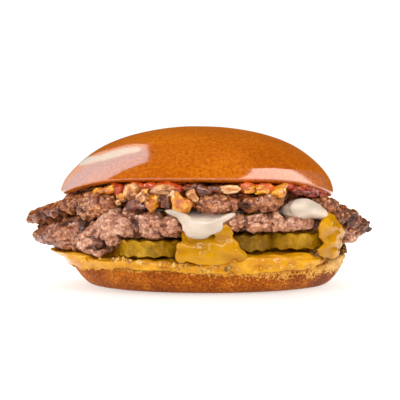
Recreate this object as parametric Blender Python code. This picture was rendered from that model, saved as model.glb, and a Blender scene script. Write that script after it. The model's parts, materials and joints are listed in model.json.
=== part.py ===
"""A double cheeseburger: a glazed bun round two craggy beef patties, melted cheese, pickle chips,
fried onions and sauce.

Every layer runs right through the burger. Neighbouring layers share one contact surface, given as
a height over the table at each angle and distance from the middle, and keep a small gap to it.
Angles are in degrees, 0 to the right and -90 to the front. Sizes are in millimetres and become
metres when the meshes are made. The origin is on the table, under the middle of the burger.
"""
import math
import random

import bmesh
import bpy
from mathutils import Matrix, Vector, noise

MM = 0.001
GAP = 0.3

# Bun
CROWN_REACH = 55.0
CROWN_SHIFT = -0.8
CREST_HEIGHT = 62.5
CROWN_ROUND = 1.8
CROWN_SLOPE = 0.034
CUT_HEIGHT = 41.9
SIDE_LIP = 34.4
FRONT_LIP = 40.1
HEEL_REACH = 54.4
HEEL_FOOT = 47.2
HEEL_FRONT = 4.0
HEEL_CURL = 2.8
HEEL_END = 1.0
HEEL_SHIFT = 3.2
HEEL_HEIGHT = 9.3

# Fillings, from the heel up
SPREAD_TOP = 12.3
SPREAD_HEAP = 2.3
PICKLE_THICK = 6.2
PICKLE_WAVE = 0.42
PICKLE_PITCH = 3.6
LOWER_BASE = 20.0
CHEESE_LEVEL = 29.3
CHEESE_HALF = 1.3
UPPER_TOP = 38.4
SHOULDER_REACH = 46.5
RIM_REACH = 52.0
PATTY_REACH = 56.0
PATTY_SAG = 6.0
SAG_REACH = 22.0
LEAN = 0.02
ROUND_POWER = 3.2
CRAG = 2.3
TOP_LUMP = 0.7

COLOURS = {
    "crust": ((0.60, 0.155, 0.012), 0.28),
    "heel_crust": ((0.43, 0.10, 0.012), 0.6),
    "spread": ((0.76, 0.38, 0.035), 0.35),
    "pickle": ((0.33, 0.20, 0.015), 0.3),
    "beef": ((0.32, 0.15, 0.085), 0.55),
    "yellow_cheese": ((0.68, 0.37, 0.012), 0.25),
    "white_cheese": ((0.82, 0.74, 0.62), 0.3),
    "onion": ((0.55, 0.27, 0.06), 0.35),
    "ketchup": ((0.50, 0.05, 0.008), 0.2),
}


def clear_scene():
    """Remove whatever the opened file holds."""
    for thing in list(bpy.data.objects):
        bpy.data.objects.remove(thing, do_unlink=True)


def ramp(low, high, value):
    """Rise smoothly from 0 at low to 1 at high."""
    share = min(1.0, max(0.0, (value - low) / (high - low)))
    return share * share * (3.0 - 2.0 * share)


def rise(low, high, reach):
    """Rise in a straight line from 0 at low to 1 at high."""
    return min(1.0, max(0.0, (reach - low) / (high - low)))


def turn_between(angle, centre):
    """Signed angle from centre, in -180 to 180 degrees."""
    return (angle - centre + 180.0) % 360.0 - 180.0


def hump(angle, centre, half):
    """A cosine hump of height 1, half degrees wide to each side."""
    away = abs(turn_between(angle, centre))
    return 0.5 + 0.5 * math.cos(math.pi * away / half) if away < half else 0.0


def sector(angle, start, end, soft):
    """1 between two angles, falling to 0 over soft degrees past each."""
    middle = (start + end) / 2.0
    away = abs(turn_between(angle, middle)) - (end - start) / 2.0
    return 1.0 - ramp(0.0, soft, away)


def ripple(angle, seed, size):
    """A slow seeded waver round the burger, about size mm either way."""
    draw = random.Random(seed)
    total = 0.0
    for waves in (3, 5, 7, 11):
        total += math.sin(math.radians(waves * angle) + draw.uniform(0.0, 6.28)) * draw.uniform(0.2, 0.6)
    return size * total


def across(angle, reach):
    """Distance to the right of the middle, mm."""
    return reach * math.cos(math.radians(angle))


# The fronts of the fillings, as the burger is seen: a bay in the upper patty that the onions fill,
# a notch in it that the white cheese fills, and a cleft in the lower patty behind the runs
def bay(angle):
    return sector(angle, -121.0, -94.0, 5.0)


def notch(angle):
    return sector(angle, -53.0, -40.0, 4.0)


def cleft(angle):
    return sector(angle, -99.0, -84.0, 4.0)


def left_side(angle):
    return sector(angle, 140.0, 220.0, 4.0)


def right_side(angle):
    return sector(angle, -17.0, 34.0, 5.0)


def heaped(angle):
    """Where the sauce lies thickest and lifts the pickles and the lower patty, at the right of the front."""
    return sector(angle, -92.0, -22.5, 5.0)


def past_shoulder(reach):
    """0 up to the shoulder and 1 from the rim on: inside the shoulder all layers lie flat."""
    return rise(SHOULDER_REACH, RIM_REACH, reach)


def spread_height(angle, reach):
    """Top of the sauce on the heel."""
    skirt = past_shoulder(reach) + 1.6 * rise(RIM_REACH, 62.0, reach)
    heap = SPREAD_HEAP * sector(angle, -80.0, -26.0, 12.0) * rise(0.0, SHOULDER_REACH, reach)
    return SPREAD_TOP + skirt * left_side(angle) + heap


def lower_base_height(angle, reach):
    """Underside of the lower patty: on the pickles, and sagging between them and at both sides."""
    sag = PATTY_SAG * max(0.0, 1.0 - reach / SAG_REACH)
    sides = 6.3 * sector(angle, 140.0, 226.0, 3.0) + 5.5 * right_side(angle)
    lift = 1.6 * left_side(angle) * rise(RIM_REACH, 62.0, reach)
    lift += (SPREAD_HEAP - 0.1) * heaped(angle) * rise(0.0, SAG_REACH, reach)
    return LOWER_BASE - sag - sides * rise(SAG_REACH, SHOULDER_REACH, reach) + lift


def cheese_height(angle, reach):
    """Between the patties. It falls at the ragged left end and round the folded right end."""
    height = CHEESE_LEVEL - 0.6 * LEAN * across(angle, reach) - 0.6 * past_shoulder(reach)
    height -= 6.8 * rise(RIM_REACH, 61.5, reach) * hump(angle, 182.0, 52.0)
    fold = 6.0 * past_shoulder(reach) + 7.5 * rise(RIM_REACH, 57.0, reach) - 4.5 * rise(57.0, 69.0, reach)
    height -= fold * hump(angle, 3.0, 36.0)
    height += 1.6 * hump(angle, -117.0, 26.0) * past_shoulder(reach)
    return height


def cheese_half(angle, reach):
    """Half the room the two cheeses take between the patties; none where they meet at the edge."""
    front = max(sector(angle, -104.0, -75.0, 3.0), notch(angle))
    open_edge = max(front, sector(angle, -37.0, -28.0, 4.0), sector(angle, 84.0, 108.0, 4.0))
    closed = GAP / 2.0 + (CHEESE_HALF - GAP / 2.0) * open_edge
    return CHEESE_HALF + (closed - CHEESE_HALF) * rise(RIM_REACH, 54.5, reach)


def lower_top_height(angle, reach):
    dip = 2.6 * notch(angle) * rise(50.5, 54.5, reach)
    return cheese_height(angle, reach) - cheese_half(angle, reach) - dip


def upper_base_height(angle, reach):
    return cheese_height(angle, reach) + cheese_half(angle, reach)


def lip_height(angle):
    """Lowest edge of the crown, which hangs lower at the sides than at the front."""
    turn = math.radians(angle)
    return SIDE_LIP - 0.4 * math.cos(turn) + (FRONT_LIP - SIDE_LIP) * ramp(0.2, 0.95, abs(math.sin(turn)))


def crown_base_height(angle, reach):
    """Cut face of the crown, and the lip round it."""
    cut = CUT_HEIGHT - LEAN * across(angle, reach)
    return cut + (lip_height(angle) - cut) * past_shoulder(reach)


def topping_room(angle):
    """Height between the upper patty and the crown's lip, filled by onions and ketchup."""
    open_front = max(sector(angle, -122.0, -40.0, 8.0), sector(angle, 50.0, 130.0, 10.0))
    return 1.5 + 2.0 * open_front + 6.0 * bay(angle) + 0.8 * notch(angle)


def upper_top_height(angle, reach):
    """Top of the upper patty. Past the crown's rim it slopes down at both ends, in lumps."""
    flat = UPPER_TOP - LEAN * across(angle, reach)
    rim = lip_height(angle) - topping_room(angle)
    height = flat + (rim - flat) * past_shoulder(reach)
    height -= (1.6 * rise(RIM_REACH, 59.0, reach) + 3.6 * rise(59.0, 68.5, reach)) * hump(angle, 180.0, 60.0)
    height -= (3.0 * rise(RIM_REACH, 60.5, reach) + 7.6 * rise(60.5, 70.0, reach)) * hump(angle, 0.0, 50.0)
    return height + TOP_LUMP * math.sin(math.radians(26.0 * angle)) * rise(57.0, 62.0, reach)


def sauce_height(angle, reach):
    """Between the onions and the ketchup."""
    share = 0.5 + 0.2 * bay(angle) * past_shoulder(reach)
    low = upper_top_height(angle, reach)
    return low + share * (crown_base_height(angle, reach) - low)


def finish_mesh(name, shape, colour):
    """Make the named object from a finished bmesh, in metres, with its own material."""
    bmesh.ops.recalc_face_normals(shape, faces=shape.faces)
    if shape.calc_volume(signed=True) < 0.0:
        bmesh.ops.reverse_faces(shape, faces=shape.faces)
    bmesh.ops.triangulate(shape, faces=shape.faces)
    mesh = bpy.data.meshes.new(name)
    shape.to_mesh(mesh)
    shape.free()
    mesh.transform(Matrix.Scale(MM, 4))
    mesh.shade_smooth()
    mesh.set_sharp_from_angle(angle=math.radians(50.0))
    thing = bpy.data.objects.new(name, mesh)
    bpy.context.scene.collection.objects.link(thing)
    material = bpy.data.materials.new(name)
    material.use_nodes = True
    shader = material.node_tree.nodes["Principled BSDF"]
    base, rough = COLOURS[colour]
    shader.inputs["Base Color"].default_value = (*base, 1.0)
    shader.inputs["Roughness"].default_value = rough
    mesh.materials.append(material)
    return thing


def turned(section, rows, segments):
    """Spin a half circle of rows points, then move each point to its place in section(angle)."""
    shape = bmesh.new()
    rim = []
    for row in range(rows):
        turn = math.pi * row / (rows - 1)
        rim.append(shape.verts.new((math.sin(turn), 0.0, -math.cos(turn))))
    edges = [shape.edges.new(pair) for pair in zip(rim, rim[1:])]
    bmesh.ops.spin(shape, geom=rim + edges, cent=(0, 0, 0), axis=(0, 0, 1), dvec=(0, 0, 0),
                   angle=2.0 * math.pi, steps=segments, use_merge=True)
    bmesh.ops.remove_doubles(shape, verts=shape.verts, dist=1e-5)
    sections = {}
    for corner in shape.verts:
        row = round(math.acos(max(-1.0, min(1.0, -corner.co.z))) * (rows - 1) / math.pi)
        spot = round(math.degrees(math.atan2(corner.co.y, corner.co.x)) * segments / 360.0) % segments
        if spot not in sections:
            sections[spot] = section(360.0 * spot / segments)
        reach, height = sections[spot][row]
        turn = 2.0 * math.pi * spot / segments
        corner.co = (reach * math.cos(turn), reach * math.sin(turn), height)
    return shape


def next_rim(reach, edge, left):
    """Reach of the next row on the way to the edge, on the rim itself if it isn't past it yet."""
    even = reach + (edge - reach) / (left + 1)
    return min(RIM_REACH, reach + 0.5 * (edge - reach)) if reach < RIM_REACH - 0.01 else even


def layer_rows(angle, edge, low, high, flanks, bulge, side=None, rims=0, sagging=False):
    """Points of one layer's section: its underside, its rounded side and its top.

    low and high are the heights it may fill, and side is an extra push out for a share of the
    height from 0 to 1. The row at the shoulder and rims more past it follow the contact surfaces.
    """
    flank = []
    for row in range(flanks):
        share = (row + 0.5) / flanks
        round_off = (1.0 - abs(2.0 * share - 1.0) ** ROUND_POWER) ** (1.0 / ROUND_POWER)
        reach = edge - bulge + bulge * round_off
        if side:
            reach += side(angle, share)
        bottom = low(angle, reach) + GAP / 2.0
        top = high(angle, reach) - GAP / 2.0
        flank.append((reach, bottom + share * (top - bottom)))
    rings = [0.0]
    if sagging:
        rings.append(SAG_REACH)
    shoulder = min(SHOULDER_REACH, edge - 0.9 * bulge)
    rings.append(shoulder)
    under = [(reach, low(angle, reach) + GAP / 2.0) for reach in rings]
    over = [(reach, high(angle, reach) - GAP / 2.0) for reach in rings if reach != SAG_REACH]
    inner = outer = shoulder
    for left in range(rims, 0, -1):
        inner = next_rim(inner, flank[0][0], left)
        outer = next_rim(outer, flank[-1][0], left)
        under.append((inner, low(angle, inner) + GAP / 2.0))
        over.append((outer, high(angle, outer) - GAP / 2.0))
    return under + flank + over[::-1]


def lumps_on(named, seed, start, end):
    """Lumps of meat along a patty's side: the named ones, then seeded ones over the hidden side.

    Each is (angle, share of the height, half width in degrees, half height share, push in mm).
    """
    draw = random.Random(seed)
    lumps = list(named)
    angle = start
    while angle < end:
        half = draw.uniform(3.8, 6.0)
        lumps.append((angle, draw.uniform(0.3, 0.7), half, draw.uniform(0.5, 0.8), draw.uniform(2.6, 5.0)))
        angle += half * draw.uniform(1.5, 2.1)
    return lumps


def lump_push(lumps, angle, share, seed):
    """The push of the strongest lump here, so that neighbours meet in a crease, and fine crags."""
    best = 0.0
    for centre, middle, half, tall, push in lumps:
        away = turn_between(angle, centre) / half
        lift = (share - middle) / tall
        inside = 1.0 - away * away - lift * lift
        if inside > 0.0:
            best = max(best, push * math.sqrt(inside))
    turn = math.radians(angle)
    spot = Vector((8.0 * math.cos(turn), 8.0 * math.sin(turn), 2.6 * share + seed))
    return best + CRAG * noise.noise(spot)


def bare_end(angle):
    """The right end of the heel, which curls up past the sauce."""
    return hump(angle, -8.0, 40.0)


def make_heel():
    """The bottom half of the bun: a flat foot, a rounded crust and a flat cut face."""
    rim = HEEL_REACH - 1.0
    profile = [(0.0, 0.0), (30.0, 0.0), (HEEL_FOOT - 2.0, 0.0), (HEEL_FOOT, 0.25), (49.0, 1.7),
               (51.4, 3.8), (53.3, 6.0), (HEEL_REACH, 8.0), (rim, HEEL_HEIGHT), (rim - 2.9, HEEL_HEIGHT),
               (30.0, HEEL_HEIGHT), (0.0, HEEL_HEIGHT)]

    def section(angle):
        front = HEEL_FRONT * max(0.0, -math.sin(math.radians(angle)))
        curl = ramp(0.15, 0.9, bare_end(angle))
        rows = []
        for reach, height in profile:
            swell = 1.0 + ripple(angle, 11, 0.003) * ramp(20.0, 50.0, reach)
            foot = front * ramp(20.0, 45.0, reach) * (1.0 - height / HEEL_HEIGHT)
            curled = curl * ramp(3.8, 8.0, height) if reach > rim - 1.0 else 0.0
            rows.append((reach * swell + foot + HEEL_END * curled, height + HEEL_CURL * curled))
        return rows

    shape = turned(section, len(profile), 56)
    bmesh.ops.translate(shape, verts=shape.verts, vec=(HEEL_SHIFT, 0.0, 0.0))
    return finish_mesh("heel", shape, "heel_crust")


def make_crown():
    """The domed top half of the bun, resting on the fillings with its sides a little lower."""
    rim_rows = 3
    dome_rows = 9

    def section(angle):
        turn = math.radians(angle)
        widest = CROWN_REACH + ripple(angle, 5, 0.35)
        lip = lip_height(angle) + GAP / 2.0
        waist = lip + CROWN_ROUND
        rows = [(reach, crown_base_height(angle, reach) + GAP / 2.0) for reach in (0.0, SHOULDER_REACH)]
        for row in range(rim_rows):
            lift = 0.5 * math.pi * (1.0 - row / rim_rows)
            rows.append((RIM_REACH + (widest - RIM_REACH) * math.cos(lift),
                         waist - (waist - lip) * math.sin(lift)))
        for row in range(dome_rows + 1):
            lift = 0.5 * math.pi * row / dome_rows
            slope = 1.0 - CROWN_SLOPE * hump(math.degrees(lift), 30.0, 32.0)
            rows.append((widest * math.cos(lift) * slope, waist + (CREST_HEIGHT - waist) * math.sin(lift)))
        shifted = []
        for reach, height in rows:
            slide = CROWN_SHIFT * math.cos(turn) * ramp(RIM_REACH, CROWN_REACH, reach)
            shifted.append((reach + slide, height))
        return shifted

    return finish_mesh("crown", turned(section, 3 + rim_rows + dome_rows, 60), "crust")


def lower_edge(angle):
    """Reach of the lower patty's side, without its lumps."""
    edge = PATTY_REACH - 3.0 + ripple(angle, 21, 0.9)
    edge += 9.8 * hump(angle, 186.0, 52.0)
    edge -= 2.6 * cleft(angle)
    edge -= 7.0 * sector(angle, -31.0, 27.0, 12.0)
    return edge


LOWER_LUMPS = lumps_on([
    (-125.6, 0.62, 11.0, 0.62, 5.4), (-104.8, 0.55, 8.4, 0.60, 5.0), (-137.5, 0.26, 7.5, 0.46, 6.4),
    (-141.0, 0.80, 4.5, 0.34, 2.4), (-156.0, 0.52, 9.4, 0.66, 5.4), (-174.0, 0.48, 8.2, 0.80, 4.2),
    (-117.0, 0.86, 5.0, 0.34, 5.2), (170.0, 0.50, 7.0, 0.80, 4.6), (-79.0, 0.50, 6.6, 0.70, 4.4),
    (-66.4, 0.58, 7.0, 0.66, 4.8), (-53.6, 0.50, 6.8, 0.66, 4.6), (-42.5, 0.55, 5.0, 0.70, 3.8),
], 41, -28.0, 160.0)


def make_lower_patty():
    """The lower smashed patty, craggy round its side, ragged at the left."""
    def side(angle, share):
        return lump_push(LOWER_LUMPS, angle, share, 3.0) * (1.0 - cleft(angle))

    def section(angle):
        return layer_rows(angle, lower_edge(angle), lower_base_height, lower_top_height,
                          5, 4.5, side, rims=2, sagging=True)

    return finish_mesh("lower_patty", turned(section, 14, 96), "beef")


def upper_edge(angle):
    """Reach of the upper patty's side, without its lumps."""
    edge = PATTY_REACH - 3.0 + ripple(angle, 23, 0.9)
    edge += 11.8 * hump(angle, 183.0, 46.0)
    edge += 13.2 * hump(angle, 2.0, 34.0)
    edge -= 7.5 * bay(angle)
    edge -= 7.0 * notch(angle)
    return edge


UPPER_LUMPS = lumps_on([
    (-136.6, 0.52, 11.4, 0.70, 5.6), (-154.5, 0.58, 6.6, 0.66, 4.4), (-169.5, 0.50, 9.4, 0.85, 5.0),
    (178.0, 0.44, 5.2, 0.90, 5.4), (-86.0, 0.46, 6.6, 0.66, 5.0), (-75.4, 0.40, 5.0, 0.50, 3.2),
    (-66.4, 0.50, 4.6, 0.62, 4.6), (-29.5, 0.50, 7.6, 0.80, 4.8), (-16.0, 0.58, 6.6, 0.80, 4.2),
    (-4.0, 0.46, 6.0, 0.85, 4.6), (6.5, 0.52, 5.4, 0.80, 3.8),
], 43, 15.0, 168.0)


def make_upper_patty():
    """The upper smashed patty, with a folded right end and a ragged left end."""
    def side(angle, share):
        return lump_push(UPPER_LUMPS, angle, share, 7.0) * (1.0 - bay(angle)) * (1.0 - notch(angle))

    def section(angle):
        return layer_rows(angle, upper_edge(angle), upper_base_height, upper_top_height,
                          5, 4.5, side, rims=2)

    return finish_mesh("upper_patty", turned(section, 13, 96), "beef")


def cheese_middle_height(angle, reach):
    """Between the yellow cheese and the white one that lies on it."""
    return cheese_height(angle, reach) - 0.05


def slab(across_steps, along_steps):
    """A closed box from -1 to 1 each way, its two faces cut into a grid."""
    shape = bmesh.new()
    bmesh.ops.create_grid(shape, x_segments=across_steps, y_segments=along_steps, size=1.0)
    bmesh.ops.translate(shape, verts=shape.verts, vec=(0.0, 0.0, -1.0))
    raised = bmesh.ops.extrude_face_region(shape, geom=shape.faces[:], use_keep_orig=True)
    corners = [part for part in raised["geom"] if isinstance(part, bmesh.types.BMVert)]
    bmesh.ops.translate(shape, verts=corners, vec=(0.0, 0.0, 2.0))
    return shape


def ribbon(path, centre, half, thickness, across_steps, along_steps):
    """A run of melted cheese: a box bent along a path of (reach, height) points.

    centre, half and thickness give the run's middle angle, half width and thickness at each share
    of its length. Its edges thin out.
    """
    shape = slab(across_steps, along_steps)
    for corner in shape.verts:
        u, v, w = corner.co
        share = (v + 1.0) / 2.0 * (1.0 - 0.16 * abs(u) ** 3 + 0.02 * math.sin(5.0 * u + 1.0))
        share = min(share, 1.0)
        slot = min(int(share * (len(path) - 1)), len(path) - 2)
        local = share * (len(path) - 1) - slot
        before = Vector(path[max(slot - 1, 0)])
        start = Vector(path[slot])
        end = Vector(path[slot + 1])
        after = Vector(path[min(slot + 2, len(path) - 1)])
        lead = (end - before) / 2.0
        tail = (after - start) / 2.0
        h = local
        spot = (start * (2 * h ** 3 - 3 * h ** 2 + 1) + lead * (h ** 3 - 2 * h ** 2 + h)
                + end * (-2 * h ** 3 + 3 * h ** 2) + tail * (h ** 3 - h ** 2))
        run = (start * (6 * h ** 2 - 6 * h) + lead * (3 * h ** 2 - 4 * h + 1)
               + end * (6 * h - 6 * h ** 2) + tail * (3 * h ** 2 - 2 * h))
        run.normalize()
        normal = Vector((-run.y, run.x))
        thin = 1.0 - 0.6 * abs(u) ** 3
        tip = 1.0 - 0.55 * ramp(0.86, 1.0, share)
        spot += normal * (w * 0.5 * thickness(share) * thin * tip)
        turn = math.radians(centre(share) + u * half(share))
        corner.co = (spot.x * math.cos(turn), spot.x * math.sin(turn), spot.y)
    return shape


def fuse(base, extras):
    """Join the extra solids to the base object with one union, and remove them."""
    group = bpy.data.collections.new(base.name + "_parts")
    for extra in extras:
        for home in list(extra.users_collection):
            home.objects.unlink(extra)
        group.objects.link(extra)
    bpy.context.scene.collection.children.link(group)
    join = base.modifiers.new("join", "BOOLEAN")
    join.operation = "UNION"
    join.operand_type = "COLLECTION"
    join.collection = group
    join.solver = "MANIFOLD"
    bpy.context.view_layer.update()
    graph = bpy.context.evaluated_depsgraph_get()
    joined = bpy.data.meshes.new_from_object(base.evaluated_get(graph))
    base.modifiers.clear()
    base.data = joined
    for extra in extras:
        bpy.data.objects.remove(extra, do_unlink=True)
    bpy.data.collections.remove(group)
    shape = bmesh.new()
    shape.from_mesh(joined)
    keep_largest(shape)
    bmesh.ops.triangulate(shape, faces=shape.faces)
    shape.to_mesh(joined)
    shape.free()
    while len(joined.materials) > 1:
        joined.materials.pop()
    joined.shade_smooth()
    joined.set_sharp_from_angle(angle=math.radians(50.0))
    return base


def keep_largest(shape):
    """Drop loose scraps and keep the shell with the most corners."""
    waiting = set(shape.verts)
    shells = []
    while waiting:
        queue = [waiting.pop()]
        shell = []
        while queue:
            corner = queue.pop()
            shell.append(corner)
            for edge in corner.link_edges:
                other = edge.other_vert(corner)
                if other in waiting:
                    waiting.remove(other)
                    queue.append(other)
        shells.append(shell)
    shells.sort(key=len)
    scraps = [corner for shell in shells[:-1] for corner in shell]
    bmesh.ops.delete(shape, geom=scraps, context="VERTS")


def make_yellow_cheese():
    """Melted yellow cheese on the lower patty. It runs down at the front and at the right."""
    def edge(angle):
        return 49.0 + ripple(angle, 31, 0.7) - 2.5 * sector(angle, -24.0, 28.0, 12.0) - 2.5 * bay(angle)

    def section(angle):
        return layer_rows(angle, edge(angle), lower_top_height, cheese_middle_height, 2, 1.2)

    layer = finish_mesh("yellow_cheese", turned(section, 6, 48), "yellow_cheese")
    front = ribbon([(45.5, 28.65), (49.6, 28.3), (52.2, 27.0), (53.0, 23.6), (54.8, 20.8), (57.8, 18.4),
                    (58.8, 15.2), (58.9, 11.2)],
                   lambda share: -91.5 + 4.8 * ramp(0.45, 0.75, share),
                   lambda share: 6.0 + 6.4 * ramp(0.45, 0.9, share),
                   lambda share: 0.8 + 1.6 * ramp(0.2, 0.45, share), 8, 11)
    right = ribbon([(45.0, 28.2), (50.0, 28.1), (54.4, 28.2), (58.8, 28.3), (60.8, 25.0), (60.2, 20.0),
                    (60.6, 15.5), (60.0, 11.6)],
                   lambda share: -32.5 - 2.8 * ramp(0.4, 0.6, share),
                   lambda share: 3.4 + 5.8 * ramp(0.4, 0.65, share),
                   lambda share: 0.8 + 1.6 * ramp(0.2, 0.45, share), 6, 11)
    back = ribbon([(45.5, 28.7), (50.0, 28.4), (54.0, 28.3), (59.4, 27.0), (60.8, 22.5), (60.8, 18.0)],
                  lambda share: 96.0, lambda share: 10.0 - 3.0 * share,
                  lambda share: 0.8 + 1.4 * ramp(0.4, 0.6, share), 6, 8)
    extras = [finish_mesh("run", run, "yellow_cheese") for run in (front, right, back)]
    return fuse(layer, extras)


def make_white_cheese():
    """Melted white cheese on the yellow one, with a run at the front and a blob at the right."""
    def edge(angle):
        return 49.0 + ripple(angle, 37, 0.7) - 2.5 * sector(angle, -24.0, 28.0, 12.0) - 2.5 * bay(angle)

    def section(angle):
        return layer_rows(angle, edge(angle), cheese_middle_height, upper_base_height, 2, 1.2)

    layer = finish_mesh("white_cheese", turned(section, 6, 48), "white_cheese")
    star = ribbon([(45.5, 29.93), (50.5, 29.35), (54.6, 28.5), (57.2, 26.6), (58.4, 24.0), (58.9, 21.7)],
                  lambda share: -89.5 + 0.6 * share, lambda share: 12.8 - 5.6 * ramp(0.3, 0.65, share),
                  lambda share: 0.8 + 1.6 * ramp(0.42, 0.66, share), 8, 9)
    blob = ribbon([(45.5, 29.6), (49.0, 29.5), (52.0, 29.6), (55.0, 30.2), (57.6, 30.0)],
                  lambda share: -46.5, lambda share: 5.0 + 3.8 * ramp(0.2, 0.5, share),
                  lambda share: 0.8 + 7.4 * ramp(0.35, 0.7, share) - 2.4 * ramp(0.8, 1.0, share), 6, 8)
    extras = [finish_mesh("run", run, "white_cheese") for run in (star, blob)]
    return fuse(layer, extras)


def make_spread():
    """Creamy yellow sauce on the heel, lumpy at the front and hanging as a skirt at the left."""
    def section(angle):
        turn = math.radians(angle)
        heel_edge = HEEL_SHIFT * math.cos(turn) + HEEL_REACH
        bare = bare_end(angle)
        edge = heel_edge + 0.9 + ripple(angle, 51, 0.35) - 6.6 * ramp(0.08, 0.3, bare)
        skirt = hump(angle, 190.0, 58.0)
        rows = []
        for reach in (0.0, SHOULDER_REACH):
            rows.append((reach, HEEL_HEIGHT + GAP))
        rows.append((min(heel_edge - 1.2, edge - 0.8), HEEL_HEIGHT + GAP))
        short = ramp(0.0, 0.08, bare)
        drip = (1.6 + 0.5 * math.sin(7.0 * turn) + 1.2 * hump(angle, -68.0, 24.0)) * (1.0 - short)
        rows.append((edge + 0.35, HEEL_HEIGHT + GAP * short - drip * 0.4))
        rows.append((edge + 0.7 + 0.4 * bare, HEEL_HEIGHT + 0.6 * bare - drip - 1.0 * skirt))
        rows.append((edge + 1.3 + 0.6 * skirt, HEEL_HEIGHT + 0.9 * bare - drip * 0.5 + 0.2 * skirt))
        top_edge = edge + 0.9 + 8.2 * skirt
        crest = spread_height(angle, top_edge) - GAP / 2.0
        rows.append((edge + 1.6 + 4.2 * skirt, HEEL_HEIGHT + 0.45 * (crest - HEEL_HEIGHT)))
        rows.append((top_edge, HEEL_HEIGHT + 0.82 * (crest - HEEL_HEIGHT)))
        inner = max(SHOULDER_REACH + 0.5, top_edge - 2.5)
        rows.append((inner, spread_height(angle, inner) - GAP / 2.0))
        for reach in (SHOULDER_REACH, 0.0):
            rows.append((reach, spread_height(angle, reach) - GAP / 2.0))
        return rows

    return finish_mesh("spread", turned(section, 11, 72), "spread")


PICKLES = [(-17.0, -39.5, 12.8, 4.0, 0.0), (14.0, -41.4, 12.0, -6.0, 2.2), (35.2, -27.8, 12.6, -22.0, 2.2),
           (-14.0, 40.0, 14.6, 8.0, 0.0), (21.0, 37.0, 14.0, -10.0, 0.0)]


def make_pickle(number, east, north, reach, swing, lift):
    """A crinkle-cut pickle chip: a disc whose faces carry straight waves."""
    waves = round(2.0 * reach / PICKLE_PITCH)
    shape = slab(2 * waves, 3)
    middle = (SPREAD_TOP + LOWER_BASE) / 2.0 + lift
    for corner in shape.verts:
        u, v, w = corner.co
        along = reach * math.sin(0.5 * math.pi * u)
        side = v * math.sqrt(max(reach * reach - along * along, 4.0))
        wave = PICKLE_WAVE * math.cos(math.pi * waves * (u + 1.0))
        rim = ramp(0.82, 1.0, math.hypot(along, side) / reach)
        height = middle + w * (PICKLE_THICK / 2.0 - 0.35 * rim) + wave
        corner.co = (along, side, height)
    swung = Matrix.Rotation(math.radians(swing), 3, "Z")
    bmesh.ops.rotate(shape, verts=shape.verts, cent=(0, 0, 0), matrix=swung)
    bmesh.ops.translate(shape, verts=shape.verts, vec=(east, north, 0.0))
    return finish_mesh(f"pickle_{number}", shape, "pickle")


def onion_piece(angle, reach, height, wide, tall, deep, spin):
    """One diced piece of onion: a curved block, thinner at one end, with rounded corners."""
    shape = bmesh.new()
    bmesh.ops.create_cube(shape, size=1.0)
    uprights = [edge for edge in shape.edges if abs(edge.verts[0].co.z - edge.verts[1].co.z) > 0.5]
    bmesh.ops.bevel(shape, geom=uprights, offset=0.22, offset_type="OFFSET", affect="EDGES", segments=1,
                    profile=0.5, material=-1)
    for corner in shape.verts:
        corner.co.z *= 1.0 - 0.35 * corner.co.x
        corner.co.y += 0.35 * corner.co.x * corner.co.x
    size = Matrix.Diagonal((wide, deep, tall))
    tilt = Matrix.Rotation(math.radians(spin), 3, "Y")
    facing = Matrix.Rotation(math.radians(angle + 90.0), 3, "Z")
    bmesh.ops.transform(shape, verts=shape.verts, matrix=(facing @ tilt @ size).to_4x4())
    turn = math.radians(angle)
    bmesh.ops.translate(shape, verts=shape.verts,
                        vec=(reach * math.cos(turn), reach * math.sin(turn), height))
    return shape


# Angle, level in its layer, width, height, depth and tilt of the onion pieces that show at the front
FRONT_ONIONS = [(-128.5, 0.55, 5.0, 1.9, 5.0, 6.0), (-121.5, 0.34, 3.8, 3.6, 5.0, 10.0),
                (-116.2, 0.66, 5.0, 5.0, 5.0, -12.0), (-114.6, 0.22, 6.4, 3.0, 5.0, 6.0),
                (-109.6, 0.74, 3.6, 3.4, 5.0, 16.0), (-107.8, 0.34, 5.4, 5.0, 5.0, -12.0),
                (-103.6, 0.76, 8.0, 2.8, 5.0, -6.0), (-102.6, 0.30, 4.2, 4.4, 5.0, 14.0),
                (-96.6, 0.34, 7.2, 5.0, 5.0, -10.0), (-96.0, 0.80, 4.4, 2.4, 4.6, 8.0),
                (-88.5, 0.50, 5.6, 2.4, 5.0, 8.0), (-79.0, 0.46, 7.0, 2.4, 5.0, 0.0),
                (-66.4, 0.50, 6.2, 2.4, 5.0, 6.0), (-57.6, 0.50, 6.4, 2.8, 5.0, -14.0),
                (-136.0, 0.5, 5.0, 1.4, 5.0, 5.0)]


# Angle and half width of the places where the ketchup is squeezed out past its edge
KETCHUP_SQUEEZES = [(-122.0, 7.0), (-104.0, 8.0), (-70.0, 8.0), (-46.0, 12.0), (60.0, 16.0), (130.0, 14.0)]


def ketchup_edge(angle):
    return 48.6 + ripple(angle, 81, 0.5) + 3.0 * max(hump(angle, *place) for place in KETCHUP_SQUEEZES)


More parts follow.
